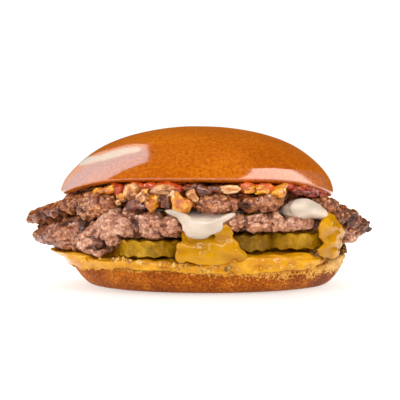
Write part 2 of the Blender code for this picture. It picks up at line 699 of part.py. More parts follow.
def make_onions():
    """Diced fried onion in its juices on the upper patty, heaped in the bay at the front."""
    def edge(angle):
        return 50.0 + ripple(angle, 61, 0.8) + 5.6 * bay(angle) - 1.6 * sector(angle, -58.0, -34.0, 6.0)

    def base(angle, reach):
        clear_of_bay = 1.8 * (sector(angle, -128.0, -87.0, 3.0) - sector(angle, -117.5, -97.5, 3.0))
        return upper_top_height(angle, reach) + clear_of_bay * past_shoulder(reach)

    def section(angle):
        return layer_rows(angle, edge(angle), base, sauce_height, 3, 2.0, rims=1)

    core = finish_mesh("onions", turned(section, 9, 96), "onion")
    draw = random.Random(71)
    pieces = list(FRONT_ONIONS)
    angle = -22.0
    while angle < 212.0:
        wide = draw.uniform(4.4, 6.2)
        tall = draw.uniform(1.5, 1.9)
        pieces.append((angle, 0.5, wide, tall, 5.0, draw.uniform(-8.0, 8.0)))
        angle += draw.uniform(12.0, 19.0)
    extras = []
    for angle, level, wide, tall, deep, spin in pieces:
        reach = edge(angle) + 0.4
        inner = reach - deep / 2.0
        outer = reach + deep / 2.0
        low = max(upper_top_height(angle, inner), upper_top_height(angle, outer))
        cover = crown_base_height
        if max(ketchup_edge(angle + step) for step in (-5.0, 0.0, 5.0)) > inner + 1.2:
            cover = sauce_height
        high = min(cover(angle, inner), cover(angle, outer))
        lean = wide * abs(math.sin(math.radians(spin)))
        room = (high - low - 2.0 * GAP) * 2.0 * min(level, 1.0 - level)
        if room < 1.2:
            continue
        if 1.2 * tall + lean > room:
            spin *= min(1.0, 0.3 * room / max(lean, 0.1))
            tall = (room - wide * abs(math.sin(math.radians(spin)))) / 1.25
        height = low + level * (high - low)
        extras.append(finish_mesh("dice", onion_piece(angle, reach, height, wide, tall, deep, spin), "onion"))
    return fuse(core, extras)


def make_ketchup():
    """Ketchup under the crown, squeezed out in a few places."""
    def section(angle):
        return layer_rows(angle, ketchup_edge(angle), sauce_height, crown_base_height, 2, 1.2)

    return finish_mesh("ketchup", turned(section, 6, 96), "ketchup")


clear_scene()
make_heel()
make_spread()
for index, chip in enumerate(PICKLES, start=1):
    make_pickle(index, *chip)
make_lower_patty()
make_yellow_cheese()
make_white_cheese()
make_upper_patty()
make_onions()
make_ketchup()
make_crown()
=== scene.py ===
"""A double cheeseburger in a glazed bun, dressed piece by piece from the heel up.

Sizes are in millimetres, and MM turns them into metres. Only the table, the lights and the camera
are placed in metres. Angles are in degrees round the burger's upright axis, 0 to the right and -90
to the front. Every skin is a copy of the piece's own solid, joined with what bulges from it, made
even and then shaped.
"""
import json
import math
import random

import bmesh
import bpy
from mathutils import Matrix, Vector, noise
from mathutils.bvhtree import BVHTree

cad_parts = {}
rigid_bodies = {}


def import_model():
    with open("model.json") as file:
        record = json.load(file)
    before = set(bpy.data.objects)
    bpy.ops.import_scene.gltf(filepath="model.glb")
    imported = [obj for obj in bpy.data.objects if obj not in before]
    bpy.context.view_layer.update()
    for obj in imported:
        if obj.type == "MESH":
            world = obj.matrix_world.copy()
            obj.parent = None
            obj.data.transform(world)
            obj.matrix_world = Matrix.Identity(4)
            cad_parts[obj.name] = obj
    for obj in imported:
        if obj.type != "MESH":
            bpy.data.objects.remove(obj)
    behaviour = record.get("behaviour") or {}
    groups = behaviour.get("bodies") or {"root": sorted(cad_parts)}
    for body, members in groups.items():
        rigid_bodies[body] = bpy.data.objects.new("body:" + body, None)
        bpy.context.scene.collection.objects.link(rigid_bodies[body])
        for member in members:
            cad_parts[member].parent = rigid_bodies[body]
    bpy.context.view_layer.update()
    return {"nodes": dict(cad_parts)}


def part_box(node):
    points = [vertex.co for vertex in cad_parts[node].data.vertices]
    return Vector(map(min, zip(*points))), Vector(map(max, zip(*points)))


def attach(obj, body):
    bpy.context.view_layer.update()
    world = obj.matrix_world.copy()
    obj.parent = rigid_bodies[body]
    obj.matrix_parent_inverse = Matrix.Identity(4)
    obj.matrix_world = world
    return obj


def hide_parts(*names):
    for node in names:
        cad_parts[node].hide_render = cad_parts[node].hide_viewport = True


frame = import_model()
MM = 0.001


# Heel
# The bottom half of the bun, baked brown with a dull, finely pocked crust, cut flat across the top.
# It is made from soft wheat dough and carries everything else.
HEEL_LEVELS = 3
HEEL_CUT = 9.3


def merged_copy(node):
    """A bmesh of a solid's skin with its loose triangles merged."""
    shape = bmesh.new()
    shape.from_mesh(frame["nodes"][node].data)
    bmesh.ops.remove_doubles(shape, verts=shape.verts, dist=1e-6)
    return shape


def piece_from(shape, name):
    """Make an object from a bmesh, and drop the bmesh."""
    mesh = bpy.data.meshes.new(name)
    shape.to_mesh(mesh)
    shape.free()
    mesh.shade_smooth()
    piece = bpy.data.objects.new(name, mesh)
    bpy.context.scene.collection.objects.link(piece)
    return piece


def keep_modified(piece):
    """Turn a piece's modifiers into its mesh."""
    bpy.context.view_layer.update()
    graph = bpy.context.evaluated_depsgraph_get()
    piece.data = bpy.data.meshes.new_from_object(piece.evaluated_get(graph))
    piece.modifiers.clear()
    piece.data.shade_smooth()
    return piece


def rounded_copy(node, name, levels):
    """A copy of a solid's skin in squares, subdivided smooth."""
    shape = merged_copy(node)
    bmesh.ops.join_triangles(shape, faces=shape.faces, angle_face_threshold=math.radians(70.0),
                             angle_shape_threshold=math.radians(180.0))
    piece = piece_from(shape, name)
    finer = piece.modifiers.new("finer", "SUBSURF")
    finer.levels = levels
    finer.render_levels = levels
    return keep_modified(piece)


def ramp(low, high, value):
    """Rise smoothly from 0 at low to 1 at high."""
    share = min(1.0, max(0.0, (value - low) / (high - low)))
    return share * share * (3.0 - 2.0 * share)


def keep_values(piece, name, values):
    """Keep one number for each point of a mesh, for its material."""
    layer = piece.data.attributes.new(name, "FLOAT", "POINT")
    layer.data.foreach_set("value", values)


def raise_skin(piece, relief, seams=None, seam_depth=0.0):
    """Move each point of a skin out by relief(spot, facing), in mm, and keep the tone and painted shade it
    also gives.

    seams says for each point how far it lies in a seam, which is seam_depth mm deep and painted dark with
    shade.
    """
    corners = piece.data.vertices
    facings = [corner.normal.copy() for corner in corners]
    tones = []
    for index, (corner, facing) in enumerate(zip(corners, facings)):
        lift, tone = relief(corner.co / MM, facing)
        if seams:
            lift -= seam_depth * seams[index]
            # Painted shade: a point in a seam is darkened.
            tone *= 1.0 - 0.8 * min(1.0, seams[index])
        corner.co += facing * (lift * MM)
        tones.append(tone)
    keep_values(piece, "tone", tones)
    piece.data.update()


def add(tree, kind, inputs=None, **settings):
    """Add a shader node, with its settings and with values or links on its inputs."""
    made = tree.nodes.new(kind)
    for name, value in settings.items():
        setattr(made, name, value)
    for name, value in (inputs or {}).items():
        if isinstance(value, bpy.types.NodeSocket):
            tree.links.new(value, made.inputs[name])
        else:
            made.inputs[name].default_value = value
    return made


def colour_ramp(tree, factor, stops):
    """A colour ramp over (place, colour) stops, read by a factor."""
    made = add(tree, "ShaderNodeValToRGB", {"Fac": factor})
    points = made.color_ramp.elements
    while len(points) < len(stops):
        points.new(1.0)
    for point, (place, colour) in zip(points, stops):
        point.position = place
        point.color = (*colour, 1.0)
    return made.outputs["Color"]


def blend_colours(tree, factor, first, second):
    """Mix two colours by a factor; each is a link or three numbers."""
    first, second = [colour if isinstance(colour, bpy.types.NodeSocket) else (*colour, 1.0)
                     for colour in (first, second)]
    return add(tree, "ShaderNodeMix", {0: factor, 6: first, 7: second}, data_type="RGBA").outputs[2]


def reach_over(tree, value, low, high, start=0.0, end=1.0):
    """Map a value from low..high to start..end, clamped."""
    made = add(tree, "ShaderNodeMapRange", {"Value": value, "From Min": low, "From Max": high,
                                            "To Min": start, "To Max": end})
    return made.outputs["Result"]


def calculate(tree, operation, first, second):
    """One Math node."""
    return add(tree, "ShaderNodeMath", {0: first, 1: second}, operation=operation).outputs["Value"]


def new_group(name, inputs, outputs):
    """An empty shader node group with named number sockets, and its inner ends."""
    group = bpy.data.node_groups.new(name, "ShaderNodeTree")
    for label, value in inputs.items():
        socket = group.interface.new_socket(name=label, in_out="INPUT", socket_type="NodeSocketFloat")
        socket.default_value = value
    for label in outputs:
        group.interface.new_socket(name=label, in_out="OUTPUT", socket_type="NodeSocketFloat")
    start = group.nodes.new("NodeGroupInput")
    end = group.nodes.new("NodeGroupOutput")
    return group, start.outputs, end.inputs


def use_group(tree, group, **values):
    """Place a node group, with its inputs by name."""
    made = tree.nodes.new("ShaderNodeGroup")
    made.node_tree = group
    for label, value in values.items():
        made.inputs[label.capitalize()].default_value = value
    return made.outputs


def new_material(name, rough, coat=0.0, coat_rough=0.1, specular=0.4):
    """A material with its Principled shader's plain values set, and its tree."""
    material = bpy.data.materials.new(name)
    material.use_nodes = True
    shader = material.node_tree.nodes["Principled BSDF"]
    shader.inputs["Roughness"].default_value = rough
    shader.inputs["Coat Weight"].default_value = coat
    shader.inputs["Coat Roughness"].default_value = coat_rough
    shader.inputs["Specular IOR Level"].default_value = specular
    return material, material.node_tree, shader


def bump(tree, shader, height, distance):
    """Feed a height over distance, in mm, to the shader's normal."""
    made = add(tree, "ShaderNodeBump", {"Height": height, "Distance": distance * MM})
    tree.links.new(made.outputs["Normal"], shader.inputs["Normal"])


def make_mottle():
    """Cloudy patches and finer grain, for whatever was baked or fried unevenly."""
    group, start, end = new_group("mottle", {"Patch": 60.0, "Grain": 420.0, "Share": 0.35}, ["Mask"])
    spot = add(group, "ShaderNodeTexCoord").outputs["Object"]
    patch = add(group, "ShaderNodeTexNoise", {"Vector": spot, "Scale": start["Patch"], "Detail": 3.0})
    grain = add(group, "ShaderNodeTexNoise", {"Vector": spot, "Scale": start["Grain"], "Detail": 4.0})
    both = add(group, "ShaderNodeMix", {0: start["Share"], 2: patch.outputs["Fac"],
                                        3: grain.outputs["Fac"]}, data_type="FLOAT")
    group.links.new(reach_over(group, both.outputs[0], 0.34, 0.66), end["Mask"])
    return group


def make_pores():
    """Small pits of two sizes scattered over a crust: how deep each point lies in one."""
    group, start, end = new_group("pores", {"Scale": 700.0, "Width": 0.3}, ["Pit"])
    spot = add(group, "ShaderNodeTexCoord").outputs["Object"]
    pits = []
    for share in (1.0, 0.45):
        scale = calculate(group, "MULTIPLY", start["Scale"], share)
        cells = add(group, "ShaderNodeTexVoronoi", {"Vector": spot, "Scale": scale, "Randomness": 1.0})
        away = calculate(group, "DIVIDE", cells.outputs["Distance"], start["Width"])
        pits.append(reach_over(group, away, 0.5, 1.0, 1.0, 0.0))
    group.links.new(calculate(group, "MAXIMUM", *pits), end["Pit"])
    return group


mottle = make_mottle()
pores = make_pores()


def heel_crust():
    """Dull brown crust, darker towards its foot and in patches at the right end, with golden crumb at the
    cut and pale crumb at the right.
    """
    material, tree, shader = new_material("heel_crust", 0.6, specular=0.18)
    patches = use_group(tree, mottle, patch=90.0, grain=1100.0, share=0.55)["Mask"]
    crust = colour_ramp(tree, patches, [(0.0, (0.20, 0.036, 0.001)), (0.45, (0.42, 0.098, 0.002)),
                                        (0.75, (0.58, 0.170, 0.006)), (1.0, (0.80, 0.36, 0.04))])
    pits = use_group(tree, pores, scale=1000.0, width=0.42)["Pit"]
    speckled = blend_colours(tree, calculate(tree, "MULTIPLY", pits, 0.4), crust, (0.20, 0.035, 0.002))
    spot = add(tree, "ShaderNodeSeparateXYZ", {"Vector": add(tree, "ShaderNodeTexCoord").outputs["Object"]})
    # Darker towards the foot and, in patches, towards the right end.
    foot = reach_over(tree, spot.outputs["Z"], 0.2 * MM, 3.2 * MM, 0.35, 0.0)
    side = reach_over(tree, spot.outputs["X"], 26.0 * MM, 44.0 * MM, 0.0, 0.75)
    toasted = calculate(tree, "MULTIPLY", side, reach_over(tree, patches, 0.35, 0.6, 1.0, 0.1))
    browned = blend_colours(tree, calculate(tree, "MAXIMUM", foot, toasted), speckled, (0.17, 0.03, 0.004))
    golden = colour_ramp(tree, patches, [(0.0, (0.52, 0.17, 0.010)), (0.5, (0.72, 0.34, 0.045)),
                                         (1.0, (0.90, 0.58, 0.16))])
    torn = reach_over(tree, spot.outputs["X"], -8.0 * MM, 28.0 * MM, 1.0 * MM, 6.0 * MM)
    ragged = calculate(tree, "ADD", spot.outputs["Z"], calculate(tree, "MULTIPLY", patches, torn))
    cut = reach_over(tree, ragged, (HEEL_CUT - 1.4) * MM, (HEEL_CUT - 0.2) * MM)
    rimmed = blend_colours(tree, cut, browned, golden)
    right = reach_over(tree, spot.outputs["X"], 44.0 * MM, 51.0 * MM)
    high = reach_over(tree, ragged, (HEEL_CUT - 0.6) * MM, (HEEL_CUT + 0.9) * MM)
    crumb = colour_ramp(tree, patches, [(0.0, (0.58, 0.24, 0.04)), (1.0, (0.95, 0.62, 0.22))])
    tree.links.new(blend_colours(tree, calculate(tree, "MULTIPLY", right, high), rimmed, crumb),
                   shader.inputs["Base Color"])
    bump(tree, shader, calculate(tree, "SUBTRACT", patches, pits), 0.25)
    return material


def heel_relief(spot, facing):
    """Slow swellings of the dough and small dents, torn along the cut and flat underneath."""
    free = 1.0 - ramp(0.55, 0.95, abs(facing.z))
    swell = 0.4 * noise.noise(spot * 0.07) + 0.16 * noise.noise(spot * 0.45)
    swell += 0.08 * noise.noise(spot * 1.1)
    torn = ramp(7.0, 9.2, spot.z) * (0.55 * noise.noise(spot * 0.6) + 0.3 * noise.noise(spot * 1.5))
    return swell * free + torn, free


heel = rounded_copy("heel", "heel_bun", HEEL_LEVELS)
raise_skin(heel, heel_relief)
heel.data.materials.append(heel_crust())
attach(heel, "root")
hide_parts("heel")


# Sauce on the heel
# A thick yellow mustard and mayonnaise sauce, spread on the toasted heel before the rest.
# The weight above squeezes it out in a lumpy band, and at the left it hangs over as a skirt.
SPREAD_VOXEL = 0.5
SPREAD_ROUNDS = 6
# Nearer to the middle than this, the sauce and the patties lie between layers and aren't seen
UNSEEN_REACH = 38.0
# Share of all a piece's faces that is kept when those unseen ones are thinned out
KEPT_SHARE = 0.76
# Angle, reach, height, half width, half depth, half height and tilt of its lumps and drips
SPREAD_BULGES = [
    (-112.0, 54.6, 11.6, 5.0, 2.2, 1.4, 3.0), (-104.0, 55.2, 11.2, 4.4, 2.0, 1.5, -4.0),
    (-95.0, 55.2, 10.4, 4.2, 2.0, 1.8, 2.0), (-87.0, 56.2, 9.8, 3.0, 1.8, 2.2, 0.0),
    (-80.5, 56.6, 9.0, 1.9, 1.6, 3.2, -14.0), (-75.5, 56.4, 8.6, 2.6, 1.7, 1.7, 20.0),
    (-73.0, 55.8, 11.2, 3.6, 1.9, 1.5, 24.0), (-66.0, 56.0, 12.6, 6.0, 1.9, 1.2, 4.0),
    (-63.0, 56.2, 9.6, 6.6, 2.0, 1.4, 3.0), (-54.0, 55.4, 13.0, 6.4, 2.0, 1.2, -3.0),
    (-50.0, 55.4, 10.2, 6.4, 2.0, 1.3, 5.0), (-41.0, 54.8, 12.4, 5.0, 2.0, 1.3, 4.0),
    (-39.0, 54.6, 10.2, 4.0, 1.9, 1.1, 10.0), (-70.0, 56.4, 7.8, 2.6, 1.6, 1.1, 0.0),
    (-36.5, 56.0, 10.8, 2.8, 1.7, 1.5, -8.0), (-32.5, 55.8, 11.5, 2.4, 1.6, 0.9, -12.0),
    (-128.0, 41.0, 13.2, 9.0, 5.0, 5.4, 0.0), (-152.0, 42.0, 11.8, 10.0, 5.0, 4.0, 0.0),
    (-97.0, 38.0, 14.0, 7.0, 5.0, 5.4, 0.0), (-62.0, 34.0, 15.0, 10.0, 5.0, 6.0, 0.0),
    (-35.0, 26.0, 15.0, 9.0, 5.0, 5.0, 0.0), (-8.0, 40.0, 12.0, 12.0, 5.0, 3.6, 0.0),
    (25.0, 41.0, 12.0, 11.0, 5.0, 3.8, 0.0), (88.0, 38.0, 14.0, 8.0, 5.0, 5.2, 0.0),
    (140.0, 42.0, 12.5, 12.0, 5.0, 4.4, 0.0), (172.0, 42.0, 11.6, 12.0, 5.0, 3.4, 0.0),
]


def around(angle, reach, height):
    """The point, in metres, at an angle, a reach from the upright axis and a height."""
    turn = math.radians(angle)
    return Vector((reach * math.cos(turn), reach * math.sin(turn), height)) * MM


def seated(angle, reach, height, half_wide, half_deep, half_tall, tilt):
    """Matrix for a unit shape: X along the rim, Y outwards and Z up, with its right end raised by tilt."""
    turn = math.radians(angle)
    lean = math.radians(tilt)
    along = Vector((-math.sin(turn), math.cos(turn), 0.0))
    out = Vector((math.cos(turn), math.sin(turn), 0.0))
    up = Vector((0.0, 0.0, 1.0))
    wide = (along * math.cos(lean) + up * math.sin(lean)) * half_wide * MM
    tall = (up * math.cos(lean) - along * math.sin(lean)) * half_tall * MM
    deep = out * half_deep * MM
    columns = Matrix((wide, deep, tall)).transposed().to_4x4()
    return Matrix.Translation(around(angle, reach, height)) @ columns


def reach_of(spot):
    """How far a point is from the upright axis."""
    return math.hypot(spot.x, spot.y)


def angle_of(spot):
    """The angle of a point round the upright axis."""
    return math.degrees(math.atan2(spot.y, spot.x))


def even_copy(node, name, voxel, rounds, bulges=()):
    """A copy of a solid's skin with its bulges joined on, remade with faces a voxel wide and smoothed."""
    shape = merged_copy(node)
    for bulge in bulges:
        bmesh.ops.create_icosphere(shape, subdivisions=3, radius=1.0, matrix=seated(*bulge))
    piece = piece_from(shape, name)
    even = piece.modifiers.new("even", "REMESH")
    even.mode = "VOXEL"
    even.voxel_size = voxel * MM
    settle = piece.modifiers.new("settle", "SMOOTH")
    settle.factor = 0.5
    settle.iterations = rounds
    return keep_modified(piece)


def thin_inside(piece):
    """Thin out the small faces that lie unseen between the layers, where nothing shows the loss."""
    unseen = [corner.index for corner in piece.data.vertices if corner.co.xy.length < UNSEEN_REACH * MM]
    inside = piece.vertex_groups.new(name="inside")
    inside.add(unseen, 1.0, "REPLACE")
    thin = piece.modifiers.new("thin", "DECIMATE")
    thin.ratio = KEPT_SHARE
    thin.vertex_group = inside.name
    keep_modified(piece)
    piece.vertex_groups.clear()


def kept(tree, name):
    """A number kept on the mesh."""
    return add(tree, "ShaderNodeAttribute", attribute_name=name).outputs["Fac"]


def soften(shader, weight, radius):
    """Let light soak in, by a depth in mm for red, green and blue."""
    shader.inputs["Subsurface Weight"].default_value = weight
    shader.inputs["Subsurface Radius"].default_value = radius
    shader.inputs["Subsurface Scale"].default_value = MM


def make_wet():
    """Small ripples and beads on a wet surface, and where it is wettest."""
    group, start, end = new_group("wet", {"Scale": 300.0, "Detail": 4.0}, ["Height", "Shine"])
    spot = add(group, "ShaderNodeTexCoord").outputs["Object"]
    waves = add(group, "ShaderNodeTexNoise", {"Vector": spot, "Scale": start["Scale"],
                                              "Detail": start["Detail"]})
    third = calculate(group, "MULTIPLY", start["Scale"], 0.3)
    pools = add(group, "ShaderNodeTexNoise", {"Vector": spot, "Scale": third})
    group.links.new(waves.outputs["Fac"], end["Height"])
    group.links.new(reach_over(group, pools.outputs["Fac"], 0.35, 0.6), end["Shine"])
    return group


wet = make_wet()


def sauce_yellow():
    """Glossy mustard yellow, with painted shade in its folds and creases."""
    material, tree, shader = new_material("yellow_sauce", 0.35, 0.6, 0.12, 0.1)
    soften(shader, 0.15, (3.0, 1.5, 0.4))
    patches = use_group(tree, mottle, patch=110.0, grain=520.0, share=0.4)["Mask"]
    colour = colour_ramp(tree, patches, [(0.0, (0.56, 0.210, 0.001)), (0.5, (0.71, 0.315, 0.002)),
                                         (1.0, (0.84, 0.43, 0.012))])
    # Painted shade: darker where the tone is low, in the low folds and creases.
    deep = blend_colours(tree, kept(tree, "tone"), (0.44, 0.14, 0.002), colour)
    tree.links.new(deep, shader.inputs["Base Color"])
    ripples = use_group(tree, wet, scale=300.0)
    tree.links.new(reach_over(tree, ripples["Shine"], 0.0, 1.0, 0.5, 0.25), shader.inputs["Roughness"])
    bump(tree, shader, ripples["Height"], 0.35)
    return material


def spread_relief(spot, facing):
    """Long soft folds of thick sauce, with grit in the band at the front, and a tone that paints shade in
    the low folds and the grit's creases.
    """
    shown = ramp(44.0, 49.0, reach_of(spot))
    angle = angle_of(spot)
    fold = noise.noise(Vector((spot.x * 0.12, spot.y * 0.12, spot.z * 0.5)))
    ridge = noise.noise(Vector((spot.x * 0.22, spot.y * 0.22, spot.z * 1.1 + 9.0)))
    grit = noise.voronoi(spot * 0.75)[0]
    crease = min(1.0, (grit[1] - grit[0]) / 0.35)
    gritty = ramp(-128.0, -112.0, angle) * ramp(-70.0, -82.0, angle)
    gritty *= ramp(-0.2, 0.25, noise.noise(spot * 0.2))
    ripple = noise.noise(Vector((spot.x * 0.4, spot.y * 0.4, spot.z * 1.6 - 5.0)))
    lift = 0.75 * fold + 0.5 * ridge + 0.22 * ripple + 0.5 * gritty * (crease - 0.6) - 0.2
    return lift * shown, 1.0 - 0.7 * gritty * (1.0 - crease) + 0.4 * min(0.0, fold + ridge)


spread = even_copy("spread", "spread_sauce", SPREAD_VOXEL, SPREAD_ROUNDS, SPREAD_BULGES)
thin_inside(spread)
raise_skin(spread, spread_relief)
spread.data.materials.append(sauce_yellow())
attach(spread, "root")
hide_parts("spread")


# Crumbs
# Small bits of toasted bun, onion and relish that fell from the layers above.
# The sauce caught them along the front, at both ends and behind.
# Angle and height of the middle of each handful, its spread in degrees and mm, and how many bits
HANDFULS = [(-122.0, 12.2, 5.0, 1.1, 18), (-108.0, 11.6, 6.0, 0.9, 10), (-94.0, 10.6, 6.0, 1.2, 18),
            (-86.5, 9.8, 3.5, 1.5, 16), (-137.0, 11.2, 6.0, 0.8, 5), (-52.0, 9.4, 16.0, 0.6, 20),
            (-31.0, 12.8, 4.0, 1.2, 14), (96.0, 11.5, 40.0, 1.2, 60)]
CRUMB_SIZES = (0.35, 0.9)
# A reach beyond every piece, from which a line is drawn inwards to find a surface
OUTSIDE = 90.0
# Shifts that give each direction of a drift its own noise
DRIFT_PLACES = (Vector((9.3, -1.5, -7.9)), Vector((-21.7, 14.2, 3.6)), Vector((6.1, 27.4, -12.8)))


def drift(spot):
    """A shift that changes smoothly from place to place, the same in every run."""
    return Vector([noise.noise(spot + away) for away in DRIFT_PLACES])


def surface_of(mesh):
    """A mesh's faces, to be met by straight lines."""
    return BVHTree.FromPolygons([corner.co for corner in mesh.vertices],
                                [face.vertices for face in mesh.polygons])


def met_inwards(surface, angle, height):
    """The first point that a level line from outside meets on its way to the middle, or None."""
    return surface.ray_cast(around(angle, OUTSIDE, height), around(angle, -1.0, 0.0).normalized())[0]


def crumb_finish():
    """Toasted bread and onion bits, each with its own shade."""
    material, tree, shader = new_material("crumb_bits", 0.4, 0.4, 0.15, 0.3)
    bits = colour_ramp(tree, kept(tree, "shade"), [(0.0, (0.44, 0.15, 0.008)), (0.4, (0.72, 0.34, 0.02)),
                                                   (0.8, (0.86, 0.52, 0.08)), (1.0, (0.92, 0.70, 0.30))])
    patches = use_group(tree, mottle, patch=700.0, grain=1900.0, share=0.4)["Mask"]
    scorched = reach_over(tree, patches, 0.0, 1.0, 0.0, 0.35)
    tree.links.new(blend_colours(tree, scorched, bits, (0.45, 0.18, 0.02)), shader.inputs["Base Color"])
    bump(tree, shader, patches, 0.15)
    return material


draw = random.Random(17)
heap = bmesh.new()
shades = []
seat = surface_of(spread.data)
for angle, height, wide, tall, count in HANDFULS:
    for bit in range(count):
        bearing = angle + draw.uniform(-wide, wide)
        met = met_inwards(seat, bearing, height + draw.uniform(-tall, tall))
        if met is None:
            continue
        sizes = [draw.uniform(*CRUMB_SIZES) * MM for side in range(3)]
        spin = Matrix.Rotation(draw.uniform(0.0, 6.28), 4, "Z")
        tumble = Matrix.Rotation(draw.uniform(0.0, 6.28), 4, "X")
        place = Matrix.Translation(met) @ (spin @ tumble) @ Matrix.Diagonal((*sizes, 1.0))
        made = bmesh.ops.create_icosphere(heap, subdivisions=2, radius=1.0, matrix=place)["verts"]
        shade = draw.random()
        for corner in made:
            corner.co += drift(corner.co * 900.0) * 0.5 * MM
            shades.append(shade)
crumbs = piece_from(heap, "crumbs")
keep_values(crumbs, "shade", shades)
crumbs.data.materials.append(crumb_finish())
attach(crumbs, "root")


# Relish
# Soft bits of chopped pickle and browned onion, larger than the crumbs.
# They fell from the layers above and stuck in the sauce, most of them at the right end.
# Angle, reach, height, half width, half depth, half height and tilt of each
RELISH_BITS = [(-39.5, 57.2, 14.0, 2.2, 1.8, 1.5, 10.0), (-43.0, 56.6, 12.9, 1.8, 1.6, 1.2, -20.0),
               (-35.0, 57.4, 12.4, 1.9, 1.6, 1.1, 0.0), (-96.0, 57.6, 12.6, 1.5, 1.0, 0.7, 8.0),
               (-91.0, 58.0, 12.0, 1.2, 1.0, 0.6, -10.0), (-84.0, 58.0, 11.4, 1.7, 1.1, 0.8, 12.0),
               (-80.0, 57.6, 9.6, 1.5, 1.1, 0.7, 30.0), (-1.0, 57.6, 13.6, 2.0, 1.3, 1.6, 30.0),
               (-4.5, 57.8, 12.4, 1.7, 1.3, 1.1, 0.0), (3.5, 56.8, 13.0, 1.8, 1.4, 1.2, -10.0),
               (-9.0, 57.0, 12.8, 1.4, 1.2, 1.0, 15.0), (60.0, 54.0, 13.0, 2.0, 1.6, 1.2, 0.0)]


def relish_finish():
    """Olive and brown, wet and patchy."""
    material, tree, shader = new_material("relish_bits", 0.3, 0.5, 0.1, 0.3)
    patches = use_group(tree, mottle, patch=420.0, grain=1400.0, share=0.4)["Mask"]
    tree.links.new(colour_ramp(tree, patches, [(0.0, (0.05, 0.016, 0.002)), (0.5, (0.26, 0.10, 0.006)),
                                               (1.0, (0.62, 0.36, 0.04))]), shader.inputs["Base Color"])
    bump(tree, shader, patches, 0.3)
    return material


heap = bmesh.new()
for bit in RELISH_BITS:
    made = bmesh.ops.create_icosphere(heap, subdivisions=4, radius=1.0, matrix=seated(*bit))["verts"]
    for corner in made:
        corner.co += drift(corner.co * 700.0) * 0.7 * MM
        corner.co += drift(corner.co * 1900.0) * 0.25 * MM
relish = piece_from(heap, "relish")
relish.data.materials.append(relish_finish())
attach(relish, "root")


# Pickle chips
# Slices of pickled cucumber cut with a waved blade, laid on the sauce.
# Their skin is olive green and their wet flesh a clear olive yellow, darker in some slices; the darkest is
# painted with shade.
PICKLE_VOXEL = 0.4
PICKLE_ROUNDS = 3
# How pale each slice is; the dark second slice is painted with the shade of the yellow cheese that hangs
# over it
PICKLE_SHADES = {"pickle_1": 0.75, "pickle_2": 0.15, "pickle_3": 0.85, "pickle_4": 0.5, "pickle_5": 0.7}


def pickle_flesh(name, shade):
    """Wet olive flesh; shade runs from 0, dark as flesh in painted shade, to 1, pale."""
    material, tree, shader = new_material(name, 0.35, 0.2, 0.08, 0.05)
    soften(shader, 0.3, (4.0, 3.0, 0.6))
    patches = use_group(tree, mottle, patch=140.0, grain=700.0, share=0.45)["Mask"]
    # The dark ramp is the flesh in painted shade.
    dark = [(0.0, (0.09, 0.034, 0.0)), (0.5, (0.16, 0.066, 0.0)), (1.0, (0.28, 0.135, 0.002))]
    pale = [(0.0, (0.34, 0.145, 0.001)), (0.5, (0.56, 0.285, 0.005)), (1.0, (0.78, 0.48, 0.045))]
    flesh = blend_colours(tree, shade, colour_ramp(tree, patches, dark), colour_ramp(tree, patches, pale))
    tree.links.new(blend_colours(tree, kept(tree, "tone"), (0.15, 0.080, 0.002), flesh),
                   shader.inputs["Base Color"])
    bump(tree, shader, use_group(tree, wet, scale=500.0)["Height"], 0.3)
    return material


def pickle_relief(middle, radius):
    """Wrinkled skin round a slice's side, with a tone under 1, and pale flesh on its faces and edges."""
    def relief(spot, facing):
        rim = ramp(0.9, 0.99, math.hypot(spot.x - middle.x, spot.y - middle.y) / radius)
        wrinkle = 0.3 * noise.noise(spot * 0.5) + 0.16 * noise.noise(spot * 1.4)
        skin = ramp(-0.1, 0.5, noise.noise(spot * 0.25))
        return wrinkle, 1.0 - 0.65 * rim * (0.25 + 0.75 * skin) * ramp(0.65, 0.25, abs(facing.z))
    return relief


for node, shade in PICKLE_SHADES.items():
    low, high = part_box(node)
    chip = even_copy(node, node + "_chip", PICKLE_VOXEL, PICKLE_ROUNDS)
    raise_skin(chip, pickle_relief((low + high) / 2.0 / MM, (high.x - low.x) / 2.0 / MM))
    chip.data.materials.append(pickle_flesh(node + "_flesh", shade))
    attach(chip, "root")
    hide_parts(node)


# Lower patty
# Coarsely minced beef smashed thin on a hot plate, so its side is ragged and full of crags.
# The meat is pinkish grey and moist inside, browned on the crags.
PATTY_VOXEL = 0.5
PATTY_ROUNDS = 2
# How deep the seams between two crags are
SEAM_DEPTH = 1.4
# The reach at which a patty's crags begin
CRAGS_START = 44.0
# Half depth of the crags at the back, and how far inside the edge their middles lie
BACK_CRAG_DEPTH = 5.4
BACK_CRAG_INSET = 4.6
